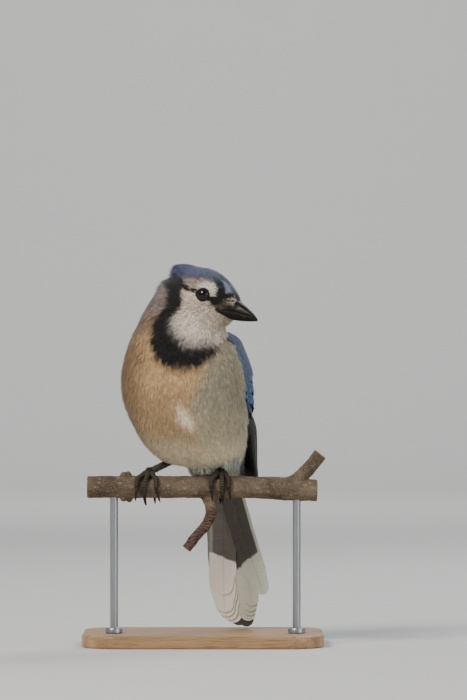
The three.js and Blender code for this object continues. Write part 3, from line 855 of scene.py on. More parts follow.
@dataclass(frozen=True)
class Eyeball:
    """A dark, wet eye with a brown iris."""

    iris: int = 0x1A0F09
    pupil_radius: float = 2.2
    iris_radius: float = 3.75

    def material(self, side: Side) -> Material:
        """Makes the material.

        Args:
            side: which eye.

        Returns:
            The material.
        """
        eye = EYES.axes(side)
        shade = Shade(f"eye_{side.name.lower()}", Roughness=0.06, Specular_IOR_Level=0.16,
                      Coat_Weight=0.45, Coat_Roughness=0.01)
        offset = shade.node("VectorMath", {0: shade.node("TexCoord", output=3), 1: eye.origin * MM},
                            operation="SUBTRACT")
        depth = shade.node("VectorMath", {0: offset, 1: eye.forward}, output=1, operation="DOT_PRODUCT")
        length = shade.node("VectorMath", {0: offset}, output=1, operation="LENGTH")
        square = shade.less(shade.times(length, length), shade.times(depth, depth))
        ring = shade.times(shade.maths("SQRT", shade.maths("MAXIMUM", square, 0.0)), 1000.0)
        rays = shade.noise(2600, 3)
        iris = shade.mix(shade.step(rays, 0.3, 0.7), paint(self.iris, 0.55), paint(self.iris, 1.25))
        colour = shade.mix(shade.step(ring, self.pupil_radius - 0.08, self.pupil_radius + 0.08),
                           paint(0x050404), iris)
        colour = shade.mix(shade.step(ring, self.iris_radius - 0.25, self.iris_radius + 0.1), colour,
                           paint(0x0B0807))
        return shade.done(colour)


@dataclass(frozen=True)
class Bark:
    """The thin bark of a dead branch."""

    pale: int = 0x726350
    mid: int = 0x4F4233
    dark: int = 0x261E17

    def material(self) -> Material:
        """Makes the material.

        Returns:
            The material.
        """
        shade = Shade("bark", Roughness=0.85, Specular_IOR_Level=0.25)
        long_place = shade.place((0.28, 1, 1))
        ridges = shade.noise(420, 6, long_place, 0.65)
        cloud = shade.noise(55, 4)
        fine = shade.noise(1500, 3, shade.place((0.5, 1, 1)))
        colour = shade.mix(shade.step(cloud, 0.35, 0.68), paint(self.mid), paint(self.pale))
        # the cracks between the ridges are painted dark as painted shade in them, and fine pale flecks stand
        # for small painted highlights
        colour = shade.mix(shade.times(shade.step(ridges, 0.46, 0.28), 0.6), colour, paint(self.dark))
        colour = shade.mix(shade.times(shade.step(fine, 0.5, 0.72), 0.5), colour, paint(0x9F8E77))
        cushion = shade.noise(90, 3, shade.place((1, 1, 1), (1, 0, 0)))
        moss = shade.times(shade.step(cushion, 0.58, 0.72), 0.4)
        colour = shade.mix(moss, colour, paint(0x4D4C38))
        spots = shade.node("TexVoronoi", {"Vector": shade.place((0.8, 1, 1)), "Scale": 210.0})
        spot = shade.rest(shade.step(spots, 0.12, 0.26))
        colour = shade.mix(shade.times(spot, 0.4), colour, paint(0x9A876E))
        colour = shade.mix(shade.value("Cut"), colour, self.wood(shade))
        rings = shade.step(shade.noise(1500, 2, shade.place((0.25, 0.25, 1))), 0.35, 0.65)
        knot = shade.mix(rings, paint(0x33241D), paint(0x6E5648))
        colour = shade.mix(shade.value("Knot"), colour, knot)
        small = shade.plus(shade.times(fine, 0.3), shade.times(spot, 0.25))
        height = shade.plus(shade.times(ridges, 1.0), small)
        rough = shade.spread(ridges, 0.95, 0.72)
        return shade.done(colour, rough, height, 0.75, 0.0008)

    def wood(self, shade: Shade) -> Socket:
        """The pale wood of a cut end."""
        grain = shade.noise(900, 4, shade.place((1, 0.3, 0.3)))
        return shade.mix(grain, paint(0xA98F6B), paint(0xD2BC96))


@dataclass(frozen=True)
class Wood:
    """The oiled wood of the stand's base."""

    pale: int = 0xB58E63
    dark: int = 0x7E5836

    def material(self) -> Material:
        """Makes the material.

        Returns:
            The material.
        """
        shade = Shade("base_wood", Roughness=0.42, Specular_IOR_Level=0.4, Coat_Weight=0.15,
                      Coat_Roughness=0.3)
        bend = shade.noise(9, 3, shade.place((0.35, 1, 1)))
        place = shade.place((0.12, 1.0, 1.0))
        lines = shade.node("TexWave", {"Vector": place, "Scale": 34.0, "Distortion": 5.5, "Detail": 3.0,
                                       "Detail Scale": 1.6}, output=1, bands_direction="Y")
        pores = shade.noise(1300, 3, shade.place((0.05, 1, 1)), 0.7)
        colour = shade.mix(shade.times(lines, 0.62), paint(self.pale), paint(self.dark))
        colour = shade.mix(shade.times(shade.step(bend, 0.35, 0.7), 0.3), colour, paint(0xC9A67C))
        pore = shade.step(pores, 0.52, 0.36)
        colour = shade.mix(shade.times(pore, 0.5), colour, paint(0x583B22))
        rough = shade.spread(pores, 0.56, 0.36)
        return shade.done(colour, rough, shade.plus(lines, shade.times(pores, 1.5)),
                          0.25, 0.00012)


@dataclass(frozen=True)
class Steel:
    """Brushed steel."""

    def material(self) -> Material:
        """Makes the material.

        Returns:
            The material.
        """
        shade = Shade("rod_steel", Roughness=0.3, Metallic=1.0)
        brush = shade.noise(2600, 3, shade.place((1, 1, 0.04)))
        colour = shade.mix(brush, paint(0x8E9092), paint(0xBDBFC0))
        rough = shade.spread(brush, 0.24, 0.42)
        return shade.done(colour, rough, brush, 0.2, 0.00005)


@dataclass(frozen=True)
class Backdrop:
    """Plain pale paper."""

    colour: int = 0xD9D8D4

    def material(self) -> Material:
        """Makes the material.

        Returns:
            The material.
        """
        shade = Shade("paper", Roughness=0.95, Specular_IOR_Level=0.1)
        grain = shade.noise(14, 2)
        return shade.done(shade.mix(grain, paint(self.colour, 0.97), paint(self.colour, 1.0)))


# The skin and its markings

# lines on body and head, each as places and then the line's values there, all in millimetres apart
# from CREST_NARROWING's values, which are shares
VENT_EDGE = ((16, 18.5, 22, 27, 31, 35, 40), (0, 8, 15.8, 19, 22.5, 29.6, 38))
PLUMP_SIDE = ((8, 20, 30, 42, 55, 64, 72, 80, 88, 96), (0, 0.5, 1.5, 2.0, 1.3, 1.2, 2.2, 2.2, 1.0, 0))
CROWN_EDGE = ((-24, -14.5, -11.8, -6.9, -2.1, 2.5, 5.5, 8, 10.5, 14, 19, 23),
              (8.0, 8.8, 9.5, 10.8, 11.7, 12.3, 12.2, 11.7, 11.0, 9.6, 6.9, 5.2))
CROWN_RIM = ((-12, -2, 3, 8), (9.5, 11.7, 12.3, 11.7))
# where the painted shade on the breast begins; it lies to the bird's left of this line
BREAST_SHADE_EDGE = ((10, 20, 39, 48, 56, 65, 76, 84), (16, 18, 19, 18.7, 19.3, 24.0, 27.0, 29.0))
PALE_VENT = ((-20, 5, 12, 18.5, 22, 27, 31, 35, 40, 50), (10, 11, 10, 8.5, 15.3, 18.6, 22.2, 29.3, 38, 50))
# the pale parting low on the belly, which carries a painted highlight
LIT_PARTING_FORWARD = ((37, 46, 53), (23.4, 26.7, 29.4))
LIT_PARTING_LEFT = ((37, 46, 53), (17.6, 14.8, 11.6))
LIT_PARTING_WIDTH = ((34, 43, 56), (2.2, 3.9, 1.8))
SKULL_TOP = ((-21, -17.5, -10, -1, 6, 12.5), (12.5, 16.6, 18.6, 19.2, 17.6, 15))
CREST_FOOT = ((-24, -14.5, -6.9, 2.5, 12), (8.2, 9.4, 11.9, 13.3, 11.5))
CREST_TOP = ((-32, -26, -20, -14, -8), (15.2, 17.4, 18.9, 19.7, 19.9))
CREST_UNDER = ((-32, -20, -14, -8), (10.2, 10.3, 11.0, 13.0))
CREST_NARROWING = ((-32, -20, -10), (0.4, 0.75, 1.0))
FLUFF_EDGE = ((16, 18.5, 22, 27, 31, 35, 40), (12, 12, 17, 20, 23.5, 30.6, 39))


class Nearby:
    """Finds the nearest of many points."""

    def __init__(self, points: Array) -> None:
        """Sorts the points, which are in millimetres.

        Args:
            points: places in millimetres.
        """
        self.tree = kdtree.KDTree(len(points))
        for i, point in enumerate(points.tolist()):
            self.tree.insert(point, i)
        self.tree.balance()

    def find(self, points: Array) -> Array:
        """The number of the nearest point to each place."""
        return np.array([self.tree.find(p)[1] for p in points.tolist()], int)


@dataclass
class Skin:
    """One skin over torso, neck, head and thighs, under the coat by its depth."""

    body_depth: float = 2.6
    head_depth: float = 1.2
    voxel: float = 1.1
    rounds: int = 7
    # a thigh's top along, behind and over the perch's middle, then its end along and behind it
    thighs: tuple[tuple[float, float, float, float, float], ...] = (
        (-15.0, 13.0, 38.0, -17.5, 25.0), (13.0, 15.0, 38.0, 12.5, 28.0))
    thigh_radii: tuple[float, float] = (7.4, 2.3)
    points: Array = field(init=False)
    normals: Array = field(init=False)
    triangles: Array = field(init=False)
    near: Nearby = field(init=False)
    mesh: Mesh = field(init=False)

    def make(self) -> None:
        """Fuses torso, head and thighs, and smooths the seams away."""
        whole = bmesh.new()
        shells = [
            wrapped(84, 110, lambda u, v: FORM.wrap(
                FORM.torso, v, 2 * math.pi * u, -self.body_depth - FORM.pocket(v, 2 * math.pi * u))),
            wrapped(64, 64, lambda u, v: FORM.on_head(v, 2 * math.pi * u, -self.head_depth)),
        ]
        for x, y, z, end_x, end_y in self.thighs:
            path = curve([(x, FORM.perch_back + y, FORM.perch_height + z),
                          ((x + end_x) / 2, FORM.perch_back + (y + end_y) / 2, FORM.perch_height + 28),
                          (end_x, FORM.perch_back + end_y, FORM.perch_height + 18.5)], 12)
            shells.append(lofted(tube_rings(path, np.linspace(*self.thigh_radii, 13), 20)))
        for i, shell in enumerate(shells):
            part = bpy.data.meshes.new(f"shell_{i}")
            bmesh.ops.recalc_face_normals(shell, faces=shell.faces)
            shell.to_mesh(part)
            shell.free()
            whole.from_mesh(part)
        self.mesh = fused(whole, "skin", self.voxel, self.rounds)
        self.normals = read(self.mesh, "normal")
        self.points = self.shaped(read(self.mesh, "co") / MM, self.normals)
        moved(self.mesh, self.points)
        self.mesh.calc_loop_triangles()
        self.triangles = np.zeros(len(self.mesh.loop_triangles) * 3, np.int32)
        self.mesh.loop_triangles.foreach_get("vertices", self.triangles)
        self.triangles = self.triangles.reshape(-1, 3)
        self.near = Nearby(self.points)

    @staticmethod
    def shaped(points: Array, normals: Array) -> Array:
        """Lifts the belly off the perch, fills breast and chin, and hollows the vent's side.

        Args:
            points: the skin's points.
            normals: the ways out there.

        Returns:
            The new points.
        """
        _, across, up = BODY.local(points).T
        ahead, aside, rise = HEAD.local(points).T
        front = normals @ BODY.forward
        made = points.copy()
        deep = np.maximum(lerp(118.5, 96.0, smooth(points[:, 0], -11, 3)) - points[:, 2], 0)
        made[:, 2] += 0.85 * deep * deep / (deep + 3)
        full = smooth(-across, 6, 26) * smooth(up, 36, 60) * fade(up, 92, 106) * smooth(front, -0.1, 0.3)
        side = read_off(across, VENT_EDGE)
        hollow = smooth(side - up, -2, 7) * smooth(across, 15, 20) * smooth(up, -8, 2)
        plump = read_off(up, PLUMP_SIDE) * smooth(across, 12, 26) * smooth(front, -0.8, -0.5)
        made += normals * (2.3 * full + plump - 2.8 * hollow)[:, None]
        chin = (smooth(ahead, 6, 14) * smooth(-rise, 9, 12.5) * fade(-rise, 19, 28)
                * np.exp(-(aside / 10) ** 2))
        return made + 3.1 * chin[:, None] * HEAD.way(1.0, 0.0, -0.1)

    def laid(self, places: Array) -> tuple[Array, Array]:
        """Places moved onto the skin, and the skin's ways out there.

        Args:
            places: places near the skin.

        Returns:
            The places on the skin, and the ways out.
        """
        found = self.near.find(places)
        out = self.normals[found]
        off = dots(places - self.points[found], out)
        return places - out * off[:, None], out

    def scattered(self, count: int, seed: int) -> tuple[Array, Array]:
        """Places spread at random over the skin, and the ways out there.

        Args:
            count: how many.
            seed: picks the places.

        Returns:
            The places and the ways out.
        """
        rng = np.random.default_rng(seed)
        corners = self.points[self.triangles]
        edges = corners[:, 1:] - corners[:, :1]
        area = np.linalg.norm(np.cross(edges[:, 0], edges[:, 1]), axis=1)
        picked = rng.choice(len(area), count, p=area / area.sum())
        a, b = np.sqrt(rng.random(count)), rng.random(count)
        shares = np.stack([1 - a, a * (1 - b), a * b], 1)[..., None]
        return ((corners[picked] * shares).sum(1),
                unit((self.normals[self.triangles[picked]] * shares).sum(1)))


def fused(whole: BMesh, name: str, voxel: float, rounds: int) -> Mesh:
    """Overlapping closed shells as one smooth surface.

    Args:
        whole: the shells, which are freed.
        name: the mesh's name.
        voxel: the size of a face, in millimetres.
        rounds: how often the surface is smoothed.

    Returns:
        The mesh.
    """
    raw = bpy.data.meshes.new(name + "_raw")
    whole.to_mesh(raw)
    whole.free()
    holder = placed(name + "_raw", raw)
    remesh = holder.modifiers.new("remesh", "REMESH")
    remesh.mode, remesh.voxel_size, remesh.adaptivity = "VOXEL", voxel * MM, 0.0
    depsgraph = bpy.context.evaluated_depsgraph_get()
    mesh = bpy.data.meshes.new_from_object(holder.evaluated_get(depsgraph))
    bpy.data.objects.remove(holder)
    bm = bmesh.new()
    bm.from_mesh(mesh)
    for _ in range(rounds):
        bmesh.ops.smooth_vert(bm, verts=bm.verts, factor=0.5, use_axis_x=True, use_axis_y=True,
                              use_axis_z=True)
    bm.to_mesh(mesh)
    bm.free()
    mesh.name = name
    mesh.shade_smooth()
    mesh.update()
    return mesh


@dataclass(frozen=True)
class Stroke:
    """A band of colour laid on the skin.

    Its points are forward, up and half width on the side of the head, or forward, left, up and half
    width anywhere, from the middle of the head.
    """

    colour: int
    points: tuple[tuple[float, ...], ...]
    soft: float = 0.8
    strength: float = 1.0
    both: bool = True

    def laid(self, skin: Skin) -> tuple[Array, Array]:
        """The stroke's places on the skin, and its half widths there.

        Args:
            skin: the skin.

        Returns:
            The places, and the half widths.
        """
        rows = []
        for point in self.points:
            forward, *rest = point
            if len(point) == 3:
                rest = [-float(FORM.head_width(np.array(forward), np.array(rest[0]))), *rest]
            rows.append((forward, *rest))
        line = curve(rows, 8 * (len(rows) - 1)) if len(rows) > 1 else np.array(rows)
        flips = (1, -1) if self.both else (1,)
        places = np.concatenate([HEAD.at(line[:, 0], line[:, 1] * flip, line[:, 2]) for flip in flips])
        return skin.laid(places)[0], np.tile(line[:, 3], len(flips))


INK = 0x161413
STROKES = (
    # the pale brow, whitest in front, and the pale patch on the forehead
    Stroke(0x9C8D7D, ((-12.5, -12.8, 8.9, 1.3), (-8.5, -13.4, 9.3, 2.4), (-3.4, -13.4, 9.9, 2.7),
                      (1.2, -12.6, 10.2, 3.0), (5.5, -11.6, 10.1, 2.9)), 1.6),
    Stroke(0xDDD6CB, ((2.0, -12.6, 9.2, 1.6), (6.2, -11.9, 9.7, 2.6), (9.4, -11.0, 9.2, 2.7),
                      (11.4, -10.3, 7.8, 2.2), (12.9, -10.9, 6.2, 1.3), (13.6, -10.9, 5.0, .5)), 1.8),
    Stroke(0x8790A3, ((14.4, -3.8, 14.4, 1.3), (16.8, -4.0, 11.8, 2.7), (19.3, -3.9, 9.3, 2.3)),
           2.2, 0.92),
    # the lines round the eye
    Stroke(0x7B5238, ((-9, -18.3, 5.2, .5), (-5, -16.6, 5.1, .6), (-1.5, -15.4, 5.0, .4)), 0.8, 0.75),
    Stroke(INK, ((-4.7, 6.5, 1.4), (-8.3, 6.7, 2.0), (-11, 7.0, 2.9), (-13, 7.8, 3.7)), 0.9),
    Stroke(INK, ((1.6, -15.0, 5.5, 1.1), (-1.1, -15.3, 6.0, 1.4), (-4.8, -16.3, 6.4, 1.6)), 0.8),
    # the brown below the lore
    Stroke(0x4A3D32, ((11.8, -11.8, -.9, .5), (14.6, -10.9, -1.2, 1.5), (17.4, -9.7, -1.2, 2.2),
                      (19.9, -8.7, -1.0, 2.2), (22.4, -7.2, -.6, 1.2)), 1.6, 0.95),
    # the black lore, the stripe that goes up from it and the band across the forehead
    Stroke(INK, ((9.9, -13.3, 1.9, 1.5), (11.2, -12.7, 2.1, 1.9), (12.6, -11.9, 1.9, 2.4),
                 (14.4, -10.9, 1.9, 2.7), (16.6, -9.7, 2.5, 2.9), (18.3, -8.7, 4.1, 2.2)), 1.0),
    Stroke(INK, ((17.0, -8.9, 5.2, 3.1), (16.4, -8.3, 7.0, 3.1), (15.9, -7.8, 8.6, 2.9),
                 (14.9, -7.0, 10.4, 2.8), (13.6, -6.5, 12.2, 2.5)), 1.2),
    Stroke(0x24262C, ((13.8, -6.5, 12.0, 2.3), (12.2, -6.3, 13.8, 2.0), (10.6, -6.4, 15.2, 1.5),
                      (8.6, -6.4, 16.4, .8)), 2.4, 0.85),
    Stroke(INK, ((18.6, -8.1, 5.6, 2.3), (20.2, -6.3, 5.9, 2.1), (21.4, -5.2, 6.2, 1.9),
                 (22.7, -3.6, 6.6, 1.7), (23.8, -2.2, 6.2, 1.8), (24.6, 0, 5.8, 1.6)), 1.0),
    Stroke(0x1E2226, ((24.4, 0, 5.8, 1.9), (25.4, 0, 4.6, 1.9), (26.8, 0, 2.8, 1.8)), 1.0, 1.0, False),
    Stroke(0x463C2F, ((20.6, -8.2, 1.2, 1.9), (22.6, -6.6, 2.0, 2.1), (24.6, -4.9, 2.0, 1.8)), 1.2),
    # dark streaks in the creases under the eye and at the edge of the gape: the feathers' own streaks, with
    # painted shade in the creases
    Stroke(0x3A2E26, ((5.6, -14.5, -1.3, .2), (7.8, -13.4, -2.0, .5), (10.3, -12.5, -2.2, .7),
                      (12.8, -11.6, -1.8, .6), (14.7, -10.9, -2.0, .5)), 0.7, 0.8),
    Stroke(0x4A3B30, ((8.3, -15.0, -4.2, .2), (10.2, -12.4, -4.5, .4), (12.9, -11.1, -4.3, .3)), 0.7, 0.5),
    Stroke(0x241C17, ((14.6, -11.1, -2.9, .4), (16.4, -10.0, -3.4, .9), (17.4, -9.6, -4.8, 1.0),
                      (17.9, -9.3, -6.4, .5)), 0.9),
)
COLLAR = Stroke(0x1D1A18, (
    (-22.5, -7.5, 11.0, 3.0), (-20.2, -11.4, 10.6, 4.4), (-15.4, -16.4, 8.2, 5.2),
    (-10.4, -21, 3.7, 4.9), (-7.6, -23.8, -.3, 5.2), (-5.5, -26.3, -4.6, 5.3),
    (-5.2, -28.8, -8.2, 5.2), (-6.2, -31, -12.4, 5.8), (-6.4, -33.2, -17.4, 7.2),
    (-5, -34.3, -22.6, 8.6), (-1.8, -34.4, -28.0, 9.8), (3.6, -33.2, -32.6, 10.5), (9.3, -30.8, -35.2, 10.2),
    (14.2, -28.3, -34.1, 9.4), (17.6, -25, -31.7, 7.3), (20.2, -21.8, -29.7, 6.0), (22.3, -17.7, -27.8, 4.5),
    (25.4, -14.2, -26.2, 2.6), (28.5, -8, -25, 1.4), (28, 0, -22, 1.4), (23, 9, -18.5, 2.6),
    (14, 16.5, -14.5, 4.0), (4, 21, -9.5, 4.8), (-5, 22, -3, 4.8), (-11, 20, 3, 4.5),
    (-14, 15, 8.5, 3.6), (-18.5, 9, 10.3, 3.2), (-22, 1, 11.3, 3.0),
    (-22.5, -7.5, 11.0, 3.0)), 2.2, 1.0, False)
FACE_MIDDLE = (12.0, 0.0, -3.0)


class Markings:
    """The colours of coat and skin, from places on the skin, with painted light and shade among them."""

    def __init__(self, skin: Skin) -> None:
        """Lays the strokes on the skin.

        Args:
            skin: the skin.
        """
        self.strokes = [(stroke, *stroke.laid(skin)) for stroke in STROKES]
        self.collar, self.collar_width = COLLAR.laid(skin)
        tangent = unit(np.gradient(self.collar, axis=0))
        inward = HEAD.at(*map(np.array, FACE_MIDDLE)) - self.collar
        self.inward = flattened(inward, tangent)

    def crown(self, local: Array) -> Array:
        """How far places, in the head's own axes, lie in the blue crown."""
        return smooth(local[:, 2] - read_off(local[:, 0], CROWN_EDGE), -0.8, 1.2)

    def colours(self, points: Array) -> Array:
        """The coat's colour at places on the skin, in linear red, green and blue.

        Args:
            points: places in millimetres.

        Returns:
            One colour for each place.
        """
        local, trunk = HEAD.local(points), BODY.local(points)
        ahead, aside, rise = local.T
        _, across, up = trunk.T
        back = smooth(-np.sin(FORM.around(trunk)), -0.05, 0.35)
        # breast, flanks, belly and vent: the breast in painted warm light on the bird's right, and in
        # painted olive shade on its left
        painted_shade_side = smooth(across - read_off(up, BREAST_SHADE_EDGE), -4.5, 5.5)
        breast_and_warm_light = dyed(0xB6976F, 0xD6B080, smooth(up, 50, 70) * smooth(across, -26, 0))
        breast_in_painted_shade = dyed(0xBBAF92, 0xAAA088, smooth(up, 38, 56) * fade(up, 72, 90))
        colour = dyed(breast_and_warm_light, breast_in_painted_shade, painted_shade_side)
        # darker brown towards the bird's right flank: the flank's own colour, with painted shade at the
        # body's edge
        dark_flank_and_shade = fade(across, -31, -8) * smooth(up, 16, 40) * fade(up, 82, 98)
        colour = dyed(colour, 0x83633F, 0.9 * dark_flank_and_shade)
        # a pale belly on the bird's right, lit, and a greener copy of it in painted shade on its left
        belly = fade(up, 20, 38) * smooth(across, -29, -8)
        colour = dyed(colour, 0xE6D6B6, 0.9 * belly)
        belly = fade(up, 13, 24) * smooth(across, -6, 12)
        colour = dyed(colour, 0xBDBB98, 0.85 * belly)
        colour = dyed(colour, 0xC3C7B8, smooth(read_off(across, PALE_VENT) - up, -1.5, 2.5))
        # nape and mantle
        mantle = dyed(0x56607E, 0x716669, smooth(up, 84, 106))
        colour = dyed(colour, mantle, back)
        nape = dyed(0x90735F, 0x8A7872, smooth(up, 100, 114))
        nape = dyed(nape, 0x75797F, smooth(rise, -1, 7) * smooth(-ahead, 12, 20))
        colour = dyed(colour, nape, smooth(up, 93, 103) * (1 - 0.4 * back))
        rump = smooth(-up, -22, -4) * back
        colour = dyed(colour, 0x4E668F, rump)
        # face and throat lie inside the collar
        gap = np.linalg.norm(points[:, None] - self.collar[None], axis=2) - self.collar_width
        found = gap.argmin(1)
        off = gap[np.arange(len(points)), found]
        side = dots(points - self.collar[found], self.inward[found])
        inside = smooth(side, -0.6, 1.6) * smooth(up, 74, 80) * smooth(ahead, -13, -9)
        face = dyed(0xDBC9B5, 0xFCEED8, smooth(-rise, 3, 15))
        beard = 0.7 * smooth(ahead, 9, 19) * smooth(-rise, 2, 8) * fade(-rise, 14, 22)
        face = dyed(face, 0xB7A88E, beard)
        colour = dyed(colour, face, inside)
        crown = dyed(0x474C6C, 0x595D79, smooth(ahead, -20, -6))
        crown = dyed(crown, 0x515F6B, smooth(ahead, -2, 12))
        crown = dyed(crown, 0x33424D, smooth(ahead, 2, 12) * fade(np.abs(aside), 1.5, 4.5))
        edge = fade(rise - read_off(ahead, CROWN_RIM), 1.2, 2.6)
        edge *= smooth(ahead, -17, -9) * fade(ahead, 8, 12)
        crown = dyed(crown, 0x6B5D5C, edge)
        colour = dyed(colour, crown, self.crown(local))
        # the pale parting low on the belly, with a painted highlight on it that is brighter than white
        line = BODY.at(read_off(up, LIT_PARTING_FORWARD), read_off(up, LIT_PARTING_LEFT), up)
        streak = np.linalg.norm((points - line) * [1, 1, 0], axis=1) / read_off(up, LIT_PARTING_WIDTH)
        pale = fade(streak, 0.1, 2.2) * smooth(up, 34, 40) * fade(up, 47, 57) * (1 - back)
        colour = dyed(colour, 1.15 * tone(0xFFEDCC), pale)
        for stroke, places, width in self.strokes:
            colour = self.brushed(colour, points, stroke, places, width)
        # the collar fades into the throat, and ends sharply on the breast
        low = smooth(-rise, 4, 15)
        blur = np.where(side > 0, lerp(1.8, 7.5, low), COLLAR.soft)
        # a greyish mauve painted shade on the lower throat, just inside the collar
        painted_throat_shade = 0.26 * low * fade(off, 1.0, 9.0) * smooth(side, -1, 2) * smooth(up, 70, 76)
        colour = dyed(colour, 0x8C8288, painted_throat_shade)
        collar = fade(off / blur, np.where(side > 0, -0.75, -0.5), np.where(side > 0, 0.4, 0.5))
        return dyed(colour, COLLAR.colour, collar * smooth(up, 70, 76))

    @staticmethod
    def brushed(colour: Array, points: Array, stroke: Stroke, places: Array, width: Array) -> Array:
        """Colours with one stroke over them.

        Args:
            colour: the colours so far.
            points: where they are.
            stroke: the stroke.
            places: its places.
            width: its half widths.

        Returns:
            The new colours.
        """
        reach = width.max() + stroke.soft + 1
        low, high = places.min(0) - reach, places.max(0) + reach
        close = ((points > low) & (points < high)).all(1)
        if not close.any():
            return colour
        off = (np.linalg.norm(points[close][:, None] - places[None], axis=2) - width).min(1)
        cover = stroke.strength * fade(off, -stroke.soft / 2, stroke.soft / 2)
        made = colour.copy()
        made[close] = dyed(colour[close], stroke.colour, cover)
        return made


# The coat of small feathers


@dataclass(frozen=True)
class Plume:
    """How small feathers of one kind are cut."""

    barbs: int = 14
    core: float = 0.4
    thread: float = 0.06
    spread: float = 0.95
    fluff: float = 0.16
    ragged: float = 0.07
    kinds: int = 12
    seed: int = 3

    def cut(self) -> tuple[Array, Array, Array, Array, Array]:
        """Cuts a few feathers of the kind.

        Returns:
            Shares along, places across and heights of their points, as kinds by points; their
            faces; and for each point the number of its barb, with 0 for the vane.
        """
        rng = np.random.default_rng(self.seed)
        shares, acrosses, heights = [], [], []
        rows, halves = np.array([0.0, 0.3, 0.8]), np.array([0.35, 1.0, 0.12]) * self.core
        for _ in range(self.kinds):
            share = [np.repeat(rows, 3)]
            across = [np.outer(halves, [-1, 0, 1]).ravel()]
            height = [np.zeros(9)]
            spots = np.linspace(-1, 1, self.barbs)
            for t in spots + rng.normal(0, 0.5 / self.barbs, self.barbs):
                start = rng.uniform(0.05, 0.4)
                end = min(1.04, 1.0 - 0.26 * t * t + rng.normal(0, self.ragged))
                mid = lerp(start, end, 0.5)
                foot, tip = t * 0.5 * self.core, t * self.spread * (1 + rng.normal(0, 0.1))
                bulge = lerp(foot, tip, 0.62)
                half = self.thread * np.array([1.0, 0.9, 0.12])
                share.append(np.repeat([start, mid, end], 2))
                across.append((np.array([foot, bulge, tip])[:, None] + np.outer(half, [-1, 1])).ravel())
                rise = rng.uniform(0.02, 0.1)
                height.append(np.repeat([rise, rise + 0.03, rise + rng.normal(0, self.fluff)], 2))
            shares.append(np.concatenate(share))
            acrosses.append(np.concatenate(across))
            heights.append(np.concatenate(height))
        quads = [[k, k + 1, k + 4, k + 3] for k in (0, 1, 3, 4)]
        number = [0] * 9
        for k in range(self.barbs):
            first = 9 + 6 * k
            quads += [[first + r, first + r + 1, first + r + 3, first + r + 2] for r in (0, 2)]
            number += [k + 1] * 6
        return np.array(shares), np.array(acrosses), np.array(heights), np.array(quads), np.array(number)


@dataclass
class Bed:
    """Where small feathers are rooted, how they lie, and how large they are."""

    roots: Array
    out: Array
    way: Array
    length: Array
    width: Array
    depth: Array
    colour: Array
    colour_tip: Array | None = None
    middle: Array | None = None
    tip: Array | None = None
    tip_out: Array | None = None

    def part(self, chosen: Array) -> "Bed":
        """Some of the feathers."""
        return Bed(*(None if each is None else each[chosen] for each in vars(self).values()))

    def lay(self, skin: Skin) -> None:
        """Finds where the middles and tips lie over the skin."""
        self.middle, _ = skin.laid(self.roots + self.way * (self.length * 0.5)[:, None])
        self.tip, self.tip_out = skin.laid(self.roots + self.way * self.length[:, None])

    def dye(self, marks: Markings, blotch: float, seed: int, stray: float, streaks: float) -> None:
        """Takes the colours from where the feathers' middles and tips lie.

        Args:
            marks: the markings.
            blotch: how far soft blotches are apart.
            seed: picks the blotches and streaks.
            stray: how far a feather's colour may come from beside it.
            streaks: how much a few feathers are lighter or darker.
        """
        rng = np.random.default_rng(seed + 900)
        beside = stray * rng.normal(size=self.roots.shape)
        stain = 1 + 0.05 * mottle(self.roots, blotch, seed)
        luck = rng.random(len(self.roots))
        stain *= 1 + streaks * ((luck < 0.3) * 1.0 - (luck > 0.72) * 0.9) * rng.uniform(0.4, 1.0, len(luck))
        # fine dark rays run down the throat from the bill
        ahead, aside, rise = (HEAD.local(self.roots) - [17.5, 0, -3.5]).T
        fan = np.stack([np.arctan2(rise, ahead) * 16, 0.2 * np.hypot(ahead, rise), 0.5 * aside], 1)
        rays = mottle(fan, 1.9, seed + 3)
        beard = smooth(-rise, -5, 1) * smooth(BODY.local(self.roots)[:, 2], 78, 88)
        stain *= 1 + beard * (0.1 * rays - 0.42 * smooth(rays, 0.3, 0.7))
        self.colour = marks.colours(lerp(self.roots, self.middle, 0.8) + beside) * stain[:, None]
        self.colour_tip = marks.colours(lerp(self.middle, self.tip, 0.8) + beside) * stain[:, None]


def round_body(points: Array) -> Array:
    """Places on an unwrap of the torso: the angle round it and the height."""
    trunk = BODY.local(points)
    return np.stack([FORM.around(trunk) / (2 * math.pi) + 0.5, (trunk[:, 2] + 20) / 160], 1)


def round_head(points: Array) -> Array:
    """Places on an unwrap of the head: the angle round it and the distance forward.

    Args:
        points: places in millimetres.

    Returns:
        Places in the map, across and up.
    """
    local = HEAD.local(points)
    angle = np.arctan2(local[:, 2] - 1, local[:, 1]) / (2 * math.pi) + 0.5
    return np.stack([angle, (local[:, 0] + 40) / 80], 1)


